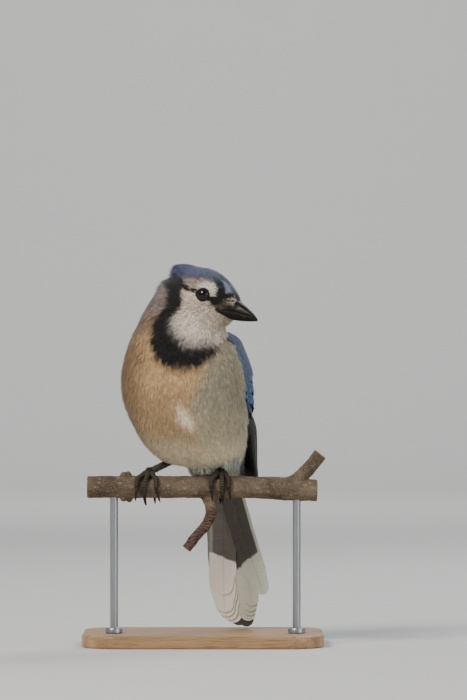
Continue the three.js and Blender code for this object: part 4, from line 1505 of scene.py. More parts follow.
@dataclass
class Coat:
    """The small feathers of head and body."""

    skin: Skin
    marks: Markings
    patch: float = 0.003  # how large a feather is in the map for baking
    limit: int = 195000  # triangles in one piece
    body_tries: int = 190000  # places that are tried for a root
    body_gap: float = 0.98  # the least distance between roots
    head_tries: int = 210000
    head_gaps: tuple[float, float] = (0.86, 0.52)  # at the nape and at the bill
    crest_tries: int = 120000
    crest_gap: float = 0.6
    bristles: int = 420
    fluff_tries: int = 90000
    perch_top: float = 107.4  # over the perch the fluff hangs no lower
    fluff_low: float = 98.0  # and beside it no lower than this

    def __post_init__(self) -> None:
        """Learns how the torso's surface runs down to the tail."""
        shares, angles = np.meshgrid(np.linspace(0.01, 0.99, 70), np.linspace(0, 2 * math.pi, 73)[:-1])
        self.shares, self.angles = shares.ravel(), angles.ravel()
        grid = FORM.wrap(FORM.torso, self.shares, self.angles)
        lower = FORM.wrap(FORM.torso, np.clip(self.shares - 0.01, 0, 1), self.angles)
        self.down, self.grid = unit(lower - grid), Nearby(grid)

    def lie(self, roots: Array, out: Array, seed: int) -> Array:
        """The way that feathers lie.

        Args:
            roots: where they grow.
            out: the ways out of the skin there.
            seed: picks how they stray.

        Returns:
            Ways along the skin.
        """
        rng = np.random.default_rng(seed)
        local = HEAD.local(roots)
        body = self.down[self.grid.find(roots)]
        behind = smooth(-(out @ HEAD.forward), 0.1, 0.85)
        fall = 1.25 * smooth(-local[:, 2], -5, 13) * (1 - 0.5 * smooth(local[:, 0], 12, 22))
        ahead, rise = -(1 - behind), -(fall + 1.6 * behind)
        head = ahead[:, None] * HEAD.forward + rise[:, None] * HEAD.up
        way = lerp(body, unit(head), smooth(local[:, 2], -31, -15)[:, None])
        way += 0.16 * rng.normal(size=way.shape)
        return flattened(way, out)

    def rooted(self, count: int, gap: Callable[[Array], Array], keep: Callable[[Array, Array], Array],
               seed: int) -> tuple[Array, Array]:
        """Roots that keep apart.

        Args:
            count: how many places are tried.
            gap: the least distance between roots at some places.
            keep: says which places may have a root.
            seed: picks the places.

        Returns:
            The roots and the ways out there.
        """
        places, out = self.skin.scattered(count, seed)
        kept = keep(places, out)
        places, out = places[kept], out[kept]
        gaps = gap(places)
        cell = float(gaps.max())
        cells = np.floor(places / cell).astype(int).tolist()
        around = [(x, y, z) for x in (-1, 0, 1) for y in (-1, 0, 1) for z in (-1, 0, 1)]
        taken: dict[tuple[int, int, int], list[list[float]]] = {}
        chosen = []
        for i, ((cx, cy, cz), p, g) in enumerate(zip(cells, places.tolist(), gaps.tolist())):
            limit = g * g
            crowded = False
            for dx, dy, dz in around:
                for q in taken.get((cx + dx, cy + dy, cz + dz), ()):
                    if (p[0] - q[0]) ** 2 + (p[1] - q[1]) ** 2 + (p[2] - q[2]) ** 2 < limit:
                        crowded = True
                        break
                if crowded:
                    break
            if not crowded:
                taken.setdefault((cx, cy, cz), []).append(p)
                chosen.append(i)
        return places[chosen], out[chosen]

    def feathers(self, name: str, bed: Bed, plume: Plume, unwrap: Callable[[Array], Array],
                 seed: int, dusk: float = 0.78) -> Mesh:
        """Small feathers as one mesh.

        Args:
            name: the mesh's name.
            bed: where they are.
            plume: how they are cut.
            unwrap: gives a root's place in the map for baking.
            seed: picks how they vary.
            dusk: how dark they are at the root, from their grey down and from painted shade where the
                feathers overlap.

        Returns:
            The mesh.
        """
        rng = np.random.default_rng(seed)
        count = len(bed.roots)
        share, across, height, quads, number = plume.cut()
        kind = rng.integers(0, plume.kinds, count)
        s, t, h = share[kind], across[kind], height[kind]
        flip = rng.choice([-1, 1], count)
        t = t * flip[:, None]
        faces = np.where((flip < 0)[:, None, None], quads[None, :, ::-1], quads[None])
        faces = (faces + (np.arange(count) * share.shape[1])[:, None, None]).reshape(-1, 4)
        length, width, depth = (each[:, None] for each in (bed.length, bed.width, bed.depth))
        run = unit(bed.tip - bed.roots)[:, None]
        a, b, c = bed.roots[:, None], bed.middle[:, None], bed.tip[:, None]
        s3 = s[..., None]
        base = a * (1 - s3) * (1 - 2 * s3) + 4 * b * s3 * (1 - s3) + c * s3 * (2 * s3 - 1)
        out = unit(lerp(bed.out[:, None], bed.tip_out[:, None], s3))
        side = unit(np.cross(run, out))
        lift = depth * rng.uniform(0.75, 1.2, (count, 1))
        up = lift * (1 - (1 - s) ** 1.7) - 0.35 * (1 - s) + h * lift * 0.8 - 0.1 * width * t * t
        points = base + side * (t * width / 2)[..., None] + out * up[..., None]
        tilt = rng.normal(0, 0.12, (count, number.max() + 1))[:, number]
        shine = out + side * (0.25 * t + tilt)[..., None] - run * (0.12 * (1 - s))[..., None]
        mesh = from_arrays(name, points.reshape(-1, 3), faces)
        mesh.normals_split_custom_set_from_vertices(unit(shine).reshape(-1, 3).tolist())
        # darker at the root, from the grey down there and painted shade where feathers overlap; a little
        # lighter at the tip
        shade = lerp(dusk, 1.03, smooth(s, 0.0, 0.6)) * (1 + 0.045 * rng.normal(size=(count, 1)))
        shade = shade * (1 + 0.085 * rng.normal(size=(count, number.max() + 1)))[:, number]
        far = bed.colour if bed.colour_tip is None else bed.colour_tip
        tint = lerp(bed.colour[:, None], far[:, None], smooth(s3, 0.35, 1.0)) * shade[..., None]
        add_values(mesh, "Tint", tint.reshape(-1, 3))
        corner = np.stack([t * 0.5, s], -1) * self.patch
        add_map(mesh, "OFBake", (unwrap(bed.roots)[:, None] + corner).reshape(-1, 2))
        return mesh

    def cover(self, name: str, bed: Bed, plume: Plume, unwrap: Callable[[Array], Array], slot: str,
              finish: Material, seed: int, dusk: float = 0.78) -> None:
        """Lays feathers in as many pieces as their number needs.

        Args:
            name: the pieces' name, which a number follows.
            bed: where the feathers are.
            plume: how they are cut.
            unwrap: gives a root's place in the map for baking.
            slot: not used.
            finish: the finish.
            seed: picks how they vary.
            dusk: how dark they are at the root, from their grey down and from painted shade where the
                feathers overlap.
        """
        pieces = max(1, math.ceil(len(bed.roots) * (8 + 4 * plume.barbs) / self.limit))
        order = np.argsort(BODY.local(bed.roots)[:, 2], kind="stable")
        for i, chosen in enumerate(np.array_split(order, pieces)):
            mesh = self.feathers(f"{name}_{i + 1}", bed.part(chosen), plume, unwrap, seed + i, dusk)
            shown(f"{name}_{i + 1}", mesh, [finish])

    def under_wing(self, places: Array) -> Array:
        """Which places a folded wing hides.

        Args:
            places: places in millimetres.

        Returns:
            True where a wing lies over it.
        """
        trunk = BODY.local(places)
        turn = np.degrees(FORM.around(trunk))
        turn = np.where(np.abs(turn) > 90, (180 - turn + 180) % 360 - 180, turn)
        up = FORM.wing[::-1, 1]
        front, rear = (np.interp(trunk[:, 2], up, FORM.wing[::-1, k]) for k in (6, 7))
        inside = (turn < front - 5) & (turn > rear + 9)
        return inside & (trunk[:, 2] < 82) & (trunk[:, 2] > -5)

    def by_eye(self, places: Array, radius: float) -> Array:
        """Which places are nearer to an eye's opening than a radius.

        Args:
            places: places in millimetres.
            radius: the radius.

        Returns:
            True where a place is that near.
        """
        close = np.zeros(len(places), bool)
        for side in Side:
            eye = EYES.axes(side)
            local = eye.local(places)
            close |= (np.hypot(local[:, 1], local[:, 2]) < radius) & (local[:, 0] > 0)
        return close

    def body_feathers(self, finish: Material) -> None:
        """Breast, belly, flanks, mantle, rump and tail coverts.

        Args:
            finish: the finish.
        """
        def keep(places: Array, out: Array) -> Array:
            """Leaves out the head, and what the wings hide."""
            return (HEAD.local(places)[:, 2] < -15) & ~self.under_wing(places)

        roots, out = self.rooted(self.body_tries, lambda p: np.full(len(p), self.body_gap), keep, seed=11)
        up = BODY.local(roots)[:, 2]
        headward = smooth(HEAD.local(roots)[:, 2], -34, -15)
        rng = np.random.default_rng(12)
        vary = rng.uniform(0.85, 1.15, (2, len(roots)))
        behind = smooth(-(out @ BODY.forward), 0.0, 0.5)
        length = lerp(lerp(8.6, 8.6 + 5 * behind, smooth(-up, -24, 4)), 5.4, headward) * vary[0]
        width = lerp(lerp(3.7, 4.6, smooth(-up, -24, 4)), 2.2, headward) * vary[1]
        way = self.lie(roots, out, seed=13)
        bed = Bed(roots, out, way, length, width, lerp(2.3, 1.5, headward), roots)
        bed.lay(self.skin)
        bed.dye(self.marks, blotch=13, seed=5, stray=0.75, streaks=0.14)
        low = (bed.tip[:, 2] < 97) & (out @ BODY.forward > -0.75)
        self.cover("coat_body", bed.part(~low), Plume(), round_body, "breast", finish, seed=21)

    def head_feathers(self, finish: Material) -> None:
        """Face, throat and nape, smallest round eye and bill.

        Args:
            finish: the finish.
        """
        def keep(places: Array, out: Array) -> Array:
            """Leaves out the eyes and the bill's base.

            Args:
                places: places in millimetres.
                out: the ways out of the skin there.

            Returns:
                True where a feather may grow.
            """
            local = HEAD.local(places)
            gape = smooth(local[:, 0], 16, 24)
            return ((local[:, 2] >= -17) & ~self.by_eye(places, 4.1) & (local[:, 0] < 25.5)
                    & ~((local[:, 0] > 16.6) & (local[:, 2] < -2.2 + 0.8 * gape)
                        & (local[:, 2] > -4.6 - 3.4 * gape)))

        def gap(places: Array) -> Array:
            """Closer towards the bill."""
            return lerp(*self.head_gaps, smooth(HEAD.local(places)[:, 0], -6, 14))

        roots, out = self.rooted(self.head_tries, gap, keep, seed=31)
        local = HEAD.local(roots)
        front = smooth(local[:, 0], -8, 15)
        rng = np.random.default_rng(32)
        vary = rng.uniform(0.85, 1.15, (2, len(roots)))
        beard = smooth(-local[:, 2], 3, 13)
        near_eye = np.min([np.linalg.norm(roots - EYES.axes(side).origin, axis=1) for side in Side], 0)
        length = (lerp(4.6, 2.8, front) + 2.4 * beard) * lerp(0.72, 1, smooth(near_eye, 5, 9)) * vary[0]
        width = lerp(1.7, 0.85, front) * vary[1]
        full = smooth(-local[:, 0], 12, 17) * smooth(local[:, 2], 1, 6)  # under the crest
        way = self.lie(roots, out, seed=33)
        bed = Bed(roots, out, way, length + 1.8 * full, width,
                  lerp(1.4, 0.7, front) + 0.5 * beard + 1.9 * full, roots)
        bed.lay(self.skin)
        bed.dye(self.marks, blotch=6, seed=6, stray=0.45, streaks=0.32)
        plume = Plume(barbs=7, thread=0.11, fluff=0.14, seed=8)
        self.cover("coat_head", bed, plume, round_head, "crown", finish, seed=41, dusk=0.8)

    def crest(self, finish: Material) -> None:
        """The crown's long feathers, which lie back past the head to a blunt end.

        Args:
            finish: the finish.
        """
        def keep(places: Array, out: Array) -> Array:
            """Only the blue crown."""
            local = HEAD.local(places)
            return (self.marks.crown(local) > 0.5) & (local[:, 0] < 17) & (out @ HEAD.up > -0.1)

        roots, out = self.rooted(self.crest_tries, lambda p: np.full(len(p), self.crest_gap), keep, seed=51)
        local = HEAD.local(roots)
        rng = np.random.default_rng(52)
        luck = rng.random(len(roots))
        rear = smooth(-local[:, 0], -6, 14)
        low = read_off(local[:, 0], CREST_FOOT)
        high = np.clip((local[:, 2] - low) / (read_off(local[:, 0], SKULL_TOP) - low), 0, 1)
        end = 29.2 + 2.7 * high + rng.normal(0, 0.25, len(roots))
        reach = np.minimum(local[:, 0] + end, 17.5) * (1 - 0.35 * luck ** 2)
        length = lerp(lerp(7.0, 3.4, smooth(local[:, 0], -4, 15)) * rng.uniform(0.85, 1.15, len(roots)),
                      reach, smooth(-local[:, 0], 1, 9))
        way = self.lie(roots, out, seed=53)
        way = unit(way - 0.6 * HEAD.forward * smooth(-local[:, 0], 0, 12)[:, None])
        way = flattened(way, out)
        bed = Bed(roots, out, way, length, lerp(1.1, 2.0, rear), lerp(0.8, 1.2, rear), roots)
        bed.lay(self.skin)
        bed.dye(self.marks, blotch=4, seed=9, stray=0.3, streaks=0.3)
        blue = dyed(0x3B4060, 0x626A90, rng.random(len(roots)) ** 1.4)
        share = 0.85 * rear * smooth(high, 0.1, 0.42)
        bed.colour = dyed(bed.colour, blue * 0.9, share)
        bed.colour_tip = dyed(bed.colour_tip, blue, share)
        front = smooth(local[:, 0], -6, 4) * (rng.random(len(roots)) < 0.3)
        bed.colour_tip = dyed(bed.colour_tip, 0x7E93B4, 0.6 * front)
        # behind the skull the crest stands free
        for share, name in ((0.5, "middle"), (1.0, "tip")):
            forward = local[:, 0] - length * share
            aside = local[:, 1] * read_off(forward, CREST_NARROWING)
            rise = lerp(read_off(forward, CREST_UNDER), read_off(forward, CREST_TOP), high)
            target = HEAD.at(forward, aside, rise)
            setattr(bed, name, lerp(getattr(bed, name), target, smooth(-forward, 9, 17)[:, None]))
        free = smooth(-(local[:, 0] - length), 11, 20)[:, None]
        away = unit((0.3 + high[:, None]) * HEAD.up
                    + (1.1 - high[:, None]) * np.sign(local[:, 1:2]) * HEAD.left)
        bed.tip_out = unit(lerp(bed.tip_out, away, free))
        plume = Plume(barbs=7, core=0.6, thread=0.09, spread=0.85, fluff=0.06, ragged=0.04, seed=14)
        self.cover("crest", bed, plume, round_head, "crown", finish, seed=61, dusk=0.7)

    def nasal_tufts(self, finish: Material) -> None:
        """The bristles that lie forward over the root of the bill.

        Args:
            finish: the finish.
        """
        rng = np.random.default_rng(71)
        count = self.bristles
        side = np.repeat([1, -1], count // 2)
        share, rise = rng.random(count), rng.random(count)
        forward = lerp(18.4, 23.6, share)
        up = lerp(lerp(-1.4, -0.8, share), lerp(2.5, 3.1, share), rise)
        roots, out = self.skin.laid(HEAD.at(forward, side * FORM.head_width(forward, up), up))
        way = HEAD.forward - 0.12 * HEAD.up * (2 * rise[:, None] - 0.6) + 0.12 * rng.normal(size=(count, 3))
        way = flattened(way, out)
        length = rng.uniform(2.8, 4.4, count) * lerp(1, 0.75, share)
        # the tufts are darker low down as painted shade, and paler towards their upper front as painted
        # highlight
        light = np.clip(1.5 * rise * share + rng.normal(-0.28, 0.25, count), 0, 1)
        colour = dyed(dyed(0x2F261D, 0x564C3B, smooth(rise, 0.1, 0.6)), 0xBDB5A0, light)
        bed = Bed(roots, out, way, length, np.full(count, 0.9), np.full(count, 0.7), colour)
        bed.lay(self.skin)
        bill = bed.tip - HEAD.at(*(HEAD.local(bed.tip) * [1, 0, 0] - [0, 0, 2.6]).T)
        bed.tip += unit(bill) * 0.35
        bed.middle += out * 0.25
        plume = Plume(barbs=7, core=0.3, thread=0.09, fluff=0.2, seed=15)
        self.cover("nasal_tufts", bed, plume, round_head, "crown", finish, seed=72, dusk=0.7)

    def shoulders(self, finish: Material) -> None:
        """The small slate feathers over the bend of each wing.

        Args:
            finish: the finish.
        """
        rng = np.random.default_rng(91)
        for side in Side:
            s, u = np.meshgrid(np.linspace(-0.075, 0.1, 24), np.linspace(-0.03, 0.98, 40))
            s = s.ravel() + rng.normal(0, 0.003, s.size)
            u = u.ravel() + rng.normal(0, 0.01, u.size)
            u += 0.12 * fade(s, -0.03, 0.07) * (1 - np.clip(u, 0, 1))
            step = 0.085 * rng.uniform(0.85, 1.1, s.size)
            roots = self.on_shoulder(side, s, u, -0.9)
            middle, tip = (self.on_shoulder(side, s + step * k, u + 0.01 * k, h)
                           for k, h in ((0.5, 0.3), (1, 0.4)))
            out = unit(self.on_shoulder(side, s, u, 1.0) - roots)
            tip_out = unit(self.on_shoulder(side, s + step, u, 2.0) - tip)
            # a few feathers, at random, turn pale blue-grey as painted highlights
            light = rng.random(s.size) ** 2
            colour = dyed(dyed(0x5A687F, 0x41597F, smooth(s, 0.02, 0.12)), 0x8692A4, 0.7 * light)
            length = np.linalg.norm(tip - roots, axis=1)
            bed = Bed(roots, out, unit(tip - roots), length, rng.uniform(2.4, 3.2, s.size),
                      np.full(s.size, 0.7), colour, colour * 1.08, middle, tip, tip_out)
            plume = Plume(barbs=9, core=0.6, thread=0.09, fluff=0.08, ragged=0.04, seed=17)
            self.cover(f"shoulder_{side.name.lower()}", bed, plume, round_body, "wing", finish, seed=92,
                       dusk=0.7)

    def flanks(self, finish: Material) -> None:
        """Breast feathers that lie over the front edge of each wing.

        Args:
            finish: the finish.
        """
        rng = np.random.default_rng(95)
        for side in Side:
            s, u = np.meshgrid(np.linspace(-0.07, 0.23, 28), np.linspace(-0.24, -0.05, 10))
            s, u = s.ravel(), u.ravel()
            s, u = s + rng.normal(0, 0.004, s.size), u + rng.normal(0, 0.008, s.size)
            u -= 0.012 * fade(s, -0.03, 0.05) + 0.075 * smooth(s, 0.07, 0.2)
            onward, aside = 0.07 * rng.uniform(0.85, 1.15, s.size), 0.045
            roots = self.on_shoulder(side, s, u, lerp(-2.8, 0.0, smooth(u, -0.24, -0.05)))
            middle, tip = (self.on_shoulder(
                side, s + onward * k, u + aside * k,
                lerp(-1.4, 1.3, smooth(u + aside * k, -0.2, 0.0)) - 0.5 * (k > 0.9)) for k in (0.5, 1.0))
            out = unit(self.on_shoulder(side, s, u, 4.0) - self.on_shoulder(side, s, u, 3.0))
            before = self.on_shoulder(side, np.maximum(s, 0.05), np.minimum(u, -0.2) - 0.04, 0.0)
            colour = self.marks.colours(before) * rng.uniform(0.9, 1.1, (s.size, 1))
            bed = Bed(roots, out, unit(tip - roots), np.linalg.norm(tip - roots, axis=1),
                      rng.uniform(3.2, 4.4, s.size), np.full(s.size, 0.9), colour, colour, middle, tip, out)
            self.cover(f"flank_{side.name.lower()}", bed, Plume(), round_body, "breast", finish, seed=96)

    @staticmethod
    def on_shoulder(side: Side, share: Array, across: Array, height: float | Array) -> Array:
        """Points on a wing, or above its top where the share is negative.

        Args:
            side: which wing.
            share: from the shoulder to the tip, and above the shoulder where it is negative.
            across: from the wing's front edge to its back edge.
            height: over its surface.

        Returns:
            The points.
        """
        inside = np.maximum(share, 0)
        point = FORM.on_wing(side, inside, across, height + 0 * share)
        onward = (point - FORM.on_wing(side, inside + 0.03, across, height + 0 * share)) / 0.03
        over = np.minimum(share, 0)[:, None]
        inward = unit(BODY.at(2.0, 0.0, 92.0) - point)
        return point - onward * over + inward * (over / 0.075) ** 2 * 5.0

    def vent_tufts(self, finish: Material) -> None:
        """Loose pale fluff that hangs below the belly.

        Args:
            finish: the finish.
        """
        rng = np.random.default_rng(81)
        places, out = self.skin.scattered(self.fluff_tries, seed=82)
        trunk = BODY.local(places)
        side = read_off(trunk[:, 1], FLUFF_EDGE)
        near = ((trunk[:, 2] < np.where(trunk[:, 1] > 16, side, 15)) & (trunk[:, 2] > 5)
                & (places[:, 0] > -9) & (out @ BODY.forward > -0.8))
        near &= rng.random(len(places)) < 0.16
        roots, out = places[near], out[near]
        way = self.lie(roots, out, seed=83) * 0.35 - np.array([0, 0, 1.0])
        way += 0.12 * rng.normal(size=roots.shape)
        way = flattened(way, out, 0.5)
        length = rng.uniform(6, 12, len(roots))
        over = np.abs(roots[:, 1] - FORM.perch_back) < 10
        drop = np.maximum(-way[:, 2], 0.2)
        length = np.where(over, np.minimum(length, (roots[:, 2] - self.perch_top) / drop), length)
        length = np.minimum(length, (roots[:, 2] - self.fluff_low) / drop)
        fit = length > 2.5
        roots, out, way, length = roots[fit], out[fit], way[fit], length[fit]
        colour = dyed(0xA9AF9C, 0xDEE1D4, rng.random(len(roots)))
        colour = dyed(colour, 0x5E7396, smooth(-(out @ BODY.forward), 0.1, 0.5))
        width = rng.uniform(1.6, 2.8, len(roots))
        bed = Bed(roots, out, way, length, width, np.full(len(roots), 1.4), colour)
        bed.middle = roots + way * (length * 0.5)[:, None] + out * 0.5
        bed.tip = roots + way * length[:, None]
        bed.tip_out = unit(out + 0.3 * np.array([0, 0, 1.0]))
        plume = Plume(barbs=9, core=0.3, thread=0.08, fluff=0.3, ragged=0.12, seed=16)
        self.cover("vent_fluff", bed, plume, round_body, "breast", finish, seed=84)


# Flight feathers, as thin closed sheets


@dataclass(frozen=True)
class Look:
    """The colours of a feather: they are read by the Vane finish."""

    tint: int
    pale: int = 0xCFD3DA
    bar: float = 0.0
    white: float = 0.0
    inner: float = 0.0
    edge: float = 0.0
    shaft: float = 0.7


class Sheets:
    """Thin feathers with two faces, gathered into one mesh."""

    COLUMNS = np.array([-1, -0.88, -0.64, -0.34, -0.09, 0, 0.09, 0.34, 0.64, 0.88, 1.0])

    def __init__(self, cells: tuple[int, int], seed: int) -> None:
        """Starts empty, with so many cells across and up in the map for baking.

        Args:
            cells: how many, across and up, the map for baking has.
            seed: picks how the feathers vary.
        """
        self.cells, self.rng = cells, np.random.default_rng(seed)
        self.points, self.faces, self.vane, self.bake = [], [], [], []
        self.values: dict[str, list[Array]] = {k: [] for k in ("Tint", "Pale", "Own", "Inner", "Bar",
                                                              "White", "Edge", "Shaft")}
        self.count = 0

    def cell(self, across: Array, share: Array) -> Array:
        """The next cell's places in the map for baking.

        Args:
            across: from one edge of the feather, -1, to the other, 1.
            share: how far along the feather.

        Returns:
            The places in the map.
        """
        column, row = self.count % self.cells[0], self.count // self.cells[0]
        self.count += 1
        return np.stack([(column + 0.08 + 0.84 * (across * 0.5 + 0.5)) / self.cells[0],
                         (row + 0.05 + 0.9 * share) / self.cells[1]], -1).reshape(-1, 2)

    def add(self, place: FeatherPlace, length: float, width: float,
            top: Look, under: Look, rows: int, tip: float, thick: float = 0.24,
            shaft: float = 0.2, cup: float = 0.0, flip: int = 1) -> None:
        """Adds a feather.

        Args:
            place: gives points for shares along, millimetres across and height over its middle.
            length: its length.
            width: its width.
            top: the upper face's colours.
            under: the lower face's colours.
            rows: faces along it.
            tip: how round its end is, as a share of its width.
            thick: its thickness.
            shaft: how far its shaft stands out.
            cup: how far its edges bend down.
            flip: -1 if its outer web is on the positive side.
        """
        k = np.linspace(0, 1, rows + 1)[:, None]
        share = 1 - (1 - k) ** 1.45
        t = self.COLUMNS[None, :]
        root = 0.5 + 0.5 * smooth(share, 0, 0.3)
        end = 1 - 0.3 * smooth(share, 1 - 0.7 * width / length, 1.0)
        wave = 1 + 0.012 * np.sin(share * 37 + self.rng.uniform(0, 6)) * np.abs(t)
        across = t * width / 2 * root * end * wave
        back = tip * width / length * (1 - np.sqrt(1 - 0.94 * t * t)) * smooth(share, 0.45, 1.0) ** 1.5
        run = share - back
        ridge = shaft * np.exp(-(t / 0.08) ** 2) * (1 - 0.75 * share)
        bend = -cup * (across / (width / 2)) ** 2
        first = sum(len(p) for p in self.points)
        own = self.rng.uniform(0, 90)
        vary = 1 + 0.07 * self.rng.normal()
        down = (1 - run) * length
        for face, look in ((1, top), (-1, under)):
            high = bend + face * (thick / 2 + ridge)
            self.points.append(place(run, across, high).reshape(-1, 3))
            spread = np.stack([0.5 + 0.5 * flip * np.broadcast_to(t, run.shape), down / 100], -1)
            self.vane.append(spread.reshape(-1, 2))
            self.bake.append(self.cell(np.broadcast_to(t, run.shape), share + 0 * t))
            size = run.size
            self.values["Tint"].append(np.tile(tone(look.tint) * vary, (size, 1)))
            self.values["Pale"].append(np.tile(tone(look.pale), (size, 1)))
            for name, value in (("Own", own), ("Inner", look.inner), ("Bar", look.bar),
                                ("White", look.white), ("Edge", look.edge), ("Shaft", look.shaft)):
                self.values[name].append(np.full(size, value))
        columns, size = len(self.COLUMNS), (rows + 1) * len(self.COLUMNS)
        grid = np.arange(size).reshape(rows + 1, columns) + first
        quads = np.stack([grid[:-1, :-1], grid[:-1, 1:], grid[1:, 1:], grid[1:, :-1]], -1).reshape(-1, 4)
        rim = np.concatenate([grid[:, 0], grid[-1, 1:], grid[-2::-1, -1], grid[0, -2:0:-1]])
        after = np.roll(rim, -1)
        side = np.stack([rim, after, after + size, rim + size], -1)
        self.faces += [quads, quads[:, ::-1] + size, side[:, ::-1]]

    def mesh(self, name: str) -> Mesh:
        """All feathers as one mesh.

        Args:
            name: the mesh's name.

        Returns:
            The mesh.
        """
        mesh = from_arrays(name, np.concatenate(self.points), np.concatenate(self.faces))
        for key, parts in self.values.items():
            add_values(mesh, key, np.concatenate(parts))
        add_map(mesh, "Vane", np.concatenate(self.vane))
        add_map(mesh, "OFBake", np.concatenate(self.bake))
        bm = bmesh.new()
        bm.from_mesh(mesh)
        bmesh.ops.recalc_face_normals(bm, faces=bm.faces)
        for edge in bm.edges:
            edge.smooth = len(edge.link_faces) < 2 or edge.calc_face_angle(0) < 0.9
        bm.to_mesh(mesh)
        bm.free()
        return mesh


@dataclass(frozen=True)
class Tier:
    """One row of feathers on the folded wing, from its front edge to its back edge."""

    count: int
    root: tuple[tuple[float, float], tuple[float, float]]
    tip: tuple[tuple[float, float], tuple[float, float]]
    height: tuple[float, float]
    width: tuple[float, float]
    look: Look
    reach: float = 0.0
    end: float = 0.5
    stacked: bool = False
    cup: float = 0.5


# the primaries' blue outer webs are painted dark grey-brown, as painted shade
PRIMARY_IN_SHADE = Look(0x1B1915, 0x3A342A, inner=0.1, edge=0.45, shaft=0.2)
BENEATH = Look(0x1F1D1A, 0x2C2823)
BRIGHT = Look(0x3A6794, 0xC9CCCE, bar=1.0, white=3.0, inner=0.5)
COVERT = Look(0x3D668E, 0xC4C8CC, bar=0.9, white=1.8, inner=0.4)
DULL = Look(0x4A5878, 0x6B7790, inner=0.25)
TIERS = (
    Tier(10, ((0.24, 0.06), (0.42, 0.62)), ((0.86, 0.12), (0.9, 0.8)), (-4.6, -2.6), (8.5, 11), PRIMARY_IN_SHADE,
         reach=0.06, end=0.8, stacked=True, cup=0.2),
    Tier(6, ((0.14, 0.05), (0.33, 0.5)), ((0.29, 0.05), (0.46, 0.5)), (-2.4, -1.8), (6.5, 9),
         Look(0x2C4C70, 0xB9BDC2, bar=0.8, inner=0.3), reach=0.01),
    Tier(8, ((0.3, 0.5), (0.34, 0.84)), ((0.66, 0.56), (0.58, 0.91)), (-1.6, -1.2), (11, 14), BRIGHT,
         reach=0.02, end=0.55),
    Tier(12, ((0.14, 0.1), (0.26, 0.78)), ((0.275, 0.05), (0.43, 0.79)), (-0.9, -0.6), (6.5, 9.5), BRIGHT),
    Tier(12, ((0.1, 0.1), (0.17, 0.74)), ((0.225, 0.05), (0.32, 0.75)), (-0.5, -0.3), (6.2, 8.5), COVERT),
    Tier(12, ((0.06, 0.1), (0.12, 0.7)), ((0.175, 0.05), (0.24, 0.7)), (-0.2, -0.1), (6, 7.6), DULL),
    Tier(8, ((0.04, 0.72), (0.28, 0.97)), ((0.24, 0.78), (0.52, 0.985)), (0.4, 0.2), (11, 12),
         Look(0x56628A, 0x707B9A, inner=0.1)),
    Tier(6, ((0.0, 0.76), (0.14, 1.0)), ((0.17, 0.8), (0.34, 1.03)), (0.9, 0.6), (10, 11),
         Look(0x5A6486, 0x747C98)),
)


@dataclass(frozen=True)
class Wings:
    """Both folded wings."""

    sink: float = -4.7  # how deep a feather's root lies
    tip_lift: float = 7.2  # the wing tips pass over the root of the tail
    roll: float = -0.05

    def make(self, finish: Material) -> None:
        """Makes both wings.

        Args:
            finish: the finish.
        """
        for side in Side:
            sheets = Sheets(cells=(14, 13), seed=100 + side.value)
            for tier in TIERS:
                self.lay(sheets, side, tier)
            name = side.name.lower()
            shown(f"folded_wing_{name}", sheets.mesh(f"folded_wing_{name}"), [finish],
                  [f"wing_{name}"])

    def lay(self, sheets: Sheets, side: Side, tier: Tier) -> None:
        """Adds a row of feathers to a wing.

        Args:
            sheets: takes the feathers.
            side: which wing.
            tier: the row.
        """
        rng = sheets.rng
        for i in range(tier.count):
            t = i / (tier.count - 1)
            root = lerp(np.array(tier.root[0]), np.array(tier.root[1]), t)
            tip = lerp(np.array(tier.tip[0]), np.array(tier.tip[1]), t)
            tip[0] = min(tip[0] + tier.reach * math.sin(math.pi * min(1, t * 1.1 + 0.12)), 1.0)
            tip[0] += rng.normal(0, 0.004) - tier.stacked * (0.16 if side is Side.RIGHT else 0.115)
            top = lerp(tier.height[0], tier.height[1], t) + rng.normal(0, 0.05)

            def place(share: Array, across: Array, high: Array) -> Array:
                """Points of this feather on the wing.

                Args:
                    share: shares along it.
                    across: millimetres across it.
                    high: heights over its middle.

                Returns:
                    The points.
                """
                s, u = lerp(root[0], tip[0], share), lerp(root[1], tip[1], share)
                girth = np.linalg.norm(FORM.on_wing(side, s, 0.0 * s, 0.0 * s)
                                       - FORM.on_wing(side, s, 1.0 + 0.0 * s, 0.0 * s), axis=-1)
                if tier.stacked:
                    level = top + self.tip_lift * smooth(s, 0.6, 0.82)
                else:
                    level = (lerp(self.sink, top, smooth(share, 0, 0.75) ** 0.8)
                             + self.roll * across * smooth(share, 0, 0.4))
                point = FORM.on_wing(side, s, u + across / np.maximum(girth, 12.0), level + high)
                if side is Side.RIGHT:  # the far wing's tip stays behind the body
                    inward = 13 * smooth(s, 0.34, 0.54) * fade(s, 0.85, 1.0) * (1 - 0.6 * np.clip(u, 0, 1))
                    point = point + inward[..., None] * BODY.left
                elif tier.stacked:
                    outward = 4.4 * smooth(s, 0.33, 0.45) * fade(s, 0.46, 0.95)
                    point = point + outward[..., None] * BODY.left
                return point

            ends = place(np.array([0.0, 1.0]), np.zeros(2), np.zeros(2))
            length = float(np.linalg.norm(ends[1] - ends[0]))
            width = lerp(tier.width[0], tier.width[1], t) * rng.uniform(0.96, 1.04)
            look = replace(tier.look, white=tier.look.white * float(smooth(t, 0.2, 0.5)))
            sheets.add(place, length, width, look, BENEATH, rows=22, tip=tier.end, cup=tier.cup)


@dataclass(frozen=True)
class Rectrix:
    """A tail feather on each side, by how its middle runs down the tail."""

    length: float
    root: float
    lean: float
    curve: float
    white: float
    width: float


